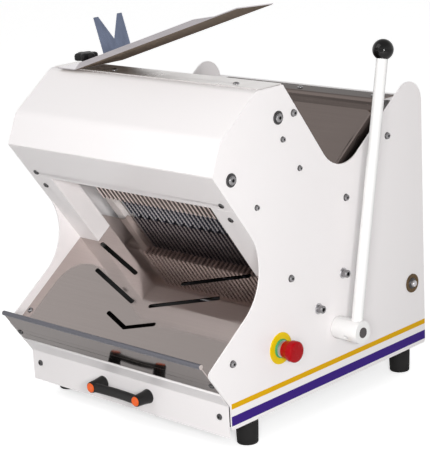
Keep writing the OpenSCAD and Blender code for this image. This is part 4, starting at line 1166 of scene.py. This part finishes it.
class SLICER_OT_stage(bpy.types.Operator):
    """Pale floor, soft light from all round, three lamps and the camera"""

    bl_idname = "slicer.stage"
    bl_label = "Stage"

    def execute(self, context):
        scene = context.scene
        light = scene.slicer_light
        scene.view_settings.view_transform = "Standard"
        scene.world = studio_world(light.around)

        bm = bmesh.new()
        bmesh.ops.create_grid(bm, x_segments=1, y_segments=1, size=FLOOR_SIZE)
        mesh = bpy.data.meshes.new("floor")
        bm.to_mesh(mesh)
        bm.free()
        floor = bpy.data.objects.new("floor", mesh)
        floor.location = (0, 0, -0.5 * MM)
        scene.collection.objects.link(floor)
        mesh.materials.append(floor_paper())

        middle = (0, 0, 0.35)
        exit_mouth = (0, -0.1, 0.35)
        add_lamp("key_lamp", (-0.9, -1.9, 2.6), middle, size=2.2, watts=light.key)
        add_lamp("side_lamp", (2.5, -1.75, 1.05), middle, size=0.3, watts=light.side)
        add_lamp("front_lamp", (2.0, -2.15, 1.0), exit_mouth, size=0.9, watts=light.front, mirrored=False)

        up = CAMERA_RIGHT.cross(CAMERA_AHEAD)
        turn = Matrix((CAMERA_RIGHT, up, -CAMERA_AHEAD)).transposed().to_4x4()
        data = bpy.data.cameras.new("camera")
        data.lens = CAMERA_LENS
        data.sensor_width = CAMERA_SENSOR
        camera = bpy.data.objects.new("camera", data)
        camera.matrix_world = Matrix.Translation(at(*CAMERA_PLACE)) @ turn
        scene.collection.objects.link(camera)
        scene.camera = camera
        return {"FINISHED"}


class SLICER_PT_sidebar(bpy.types.Panel):
    """Buttons that dress the slicer"""

    bl_label = "Bread slicer"
    bl_idname = "SLICER_PT_sidebar"
    bl_space_type = "VIEW_3D"
    bl_region_type = "UI"
    bl_category = "Slicer"

    def draw(self, context):
        for step in STEPS:
            self.layout.operator(step.bl_idname)
        scene = context.scene
        for group in (scene.slicer_colours, scene.slicer_sizes, scene.slicer_light):
            for name in group.__annotations__:
                self.layout.prop(group, name)


STEPS = (
    SLICER_OT_stage,
    SLICER_OT_white_panels,
    SLICER_OT_stainless_sheet,
    SLICER_OT_steel_parts,
    SLICER_OT_plastic_parts,
    SLICER_OT_side_bolts,
    SLICER_OT_pivot_caps,
    SLICER_OT_sheet_screws,
    SLICER_OT_lever_ball,
    SLICER_OT_drawer_handle,
    SLICER_OT_stop_button,
    SLICER_OT_rubber_feet,
    SLICER_OT_blades,
    SLICER_OT_lip_trim,
    SLICER_OT_soft_edges,
)
GROUPS = (SlicerColours, SlicerSizes, SlicerLight)


def register():
    """Makes the properties, operators and panel known to Blender."""
    for kind in (*GROUPS, *STEPS, SLICER_PT_sidebar):
        bpy.utils.register_class(kind)
    bpy.types.Scene.slicer_colours = PointerProperty(type=SlicerColours)
    bpy.types.Scene.slicer_sizes = PointerProperty(type=SlicerSizes)
    bpy.types.Scene.slicer_light = PointerProperty(type=SlicerLight)


def unregister():
    """Takes them away again."""
    del bpy.types.Scene.slicer_light
    del bpy.types.Scene.slicer_sizes
    del bpy.types.Scene.slicer_colours
    for kind in reversed((*GROUPS, *STEPS, SLICER_PT_sidebar)):
        bpy.utils.unregister_class(kind)


def main():
    """Dresses the slicer."""
    register()
    bpy.ops.slicer.stage()
    bpy.ops.slicer.white_panels()
    bpy.ops.slicer.stainless_sheet()
    bpy.ops.slicer.steel_parts()
    bpy.ops.slicer.plastic_parts()
    bpy.ops.slicer.side_bolts()
    bpy.ops.slicer.pivot_caps()
    bpy.ops.slicer.sheet_screws()
    bpy.ops.slicer.lever_ball()
    bpy.ops.slicer.drawer_handle()
    bpy.ops.slicer.stop_button()
    bpy.ops.slicer.rubber_feet()
    bpy.ops.slicer.blades()
    bpy.ops.slicer.lip_trim()
    bpy.ops.slicer.soft_edges()


if __name__ == "__main__":
    main()
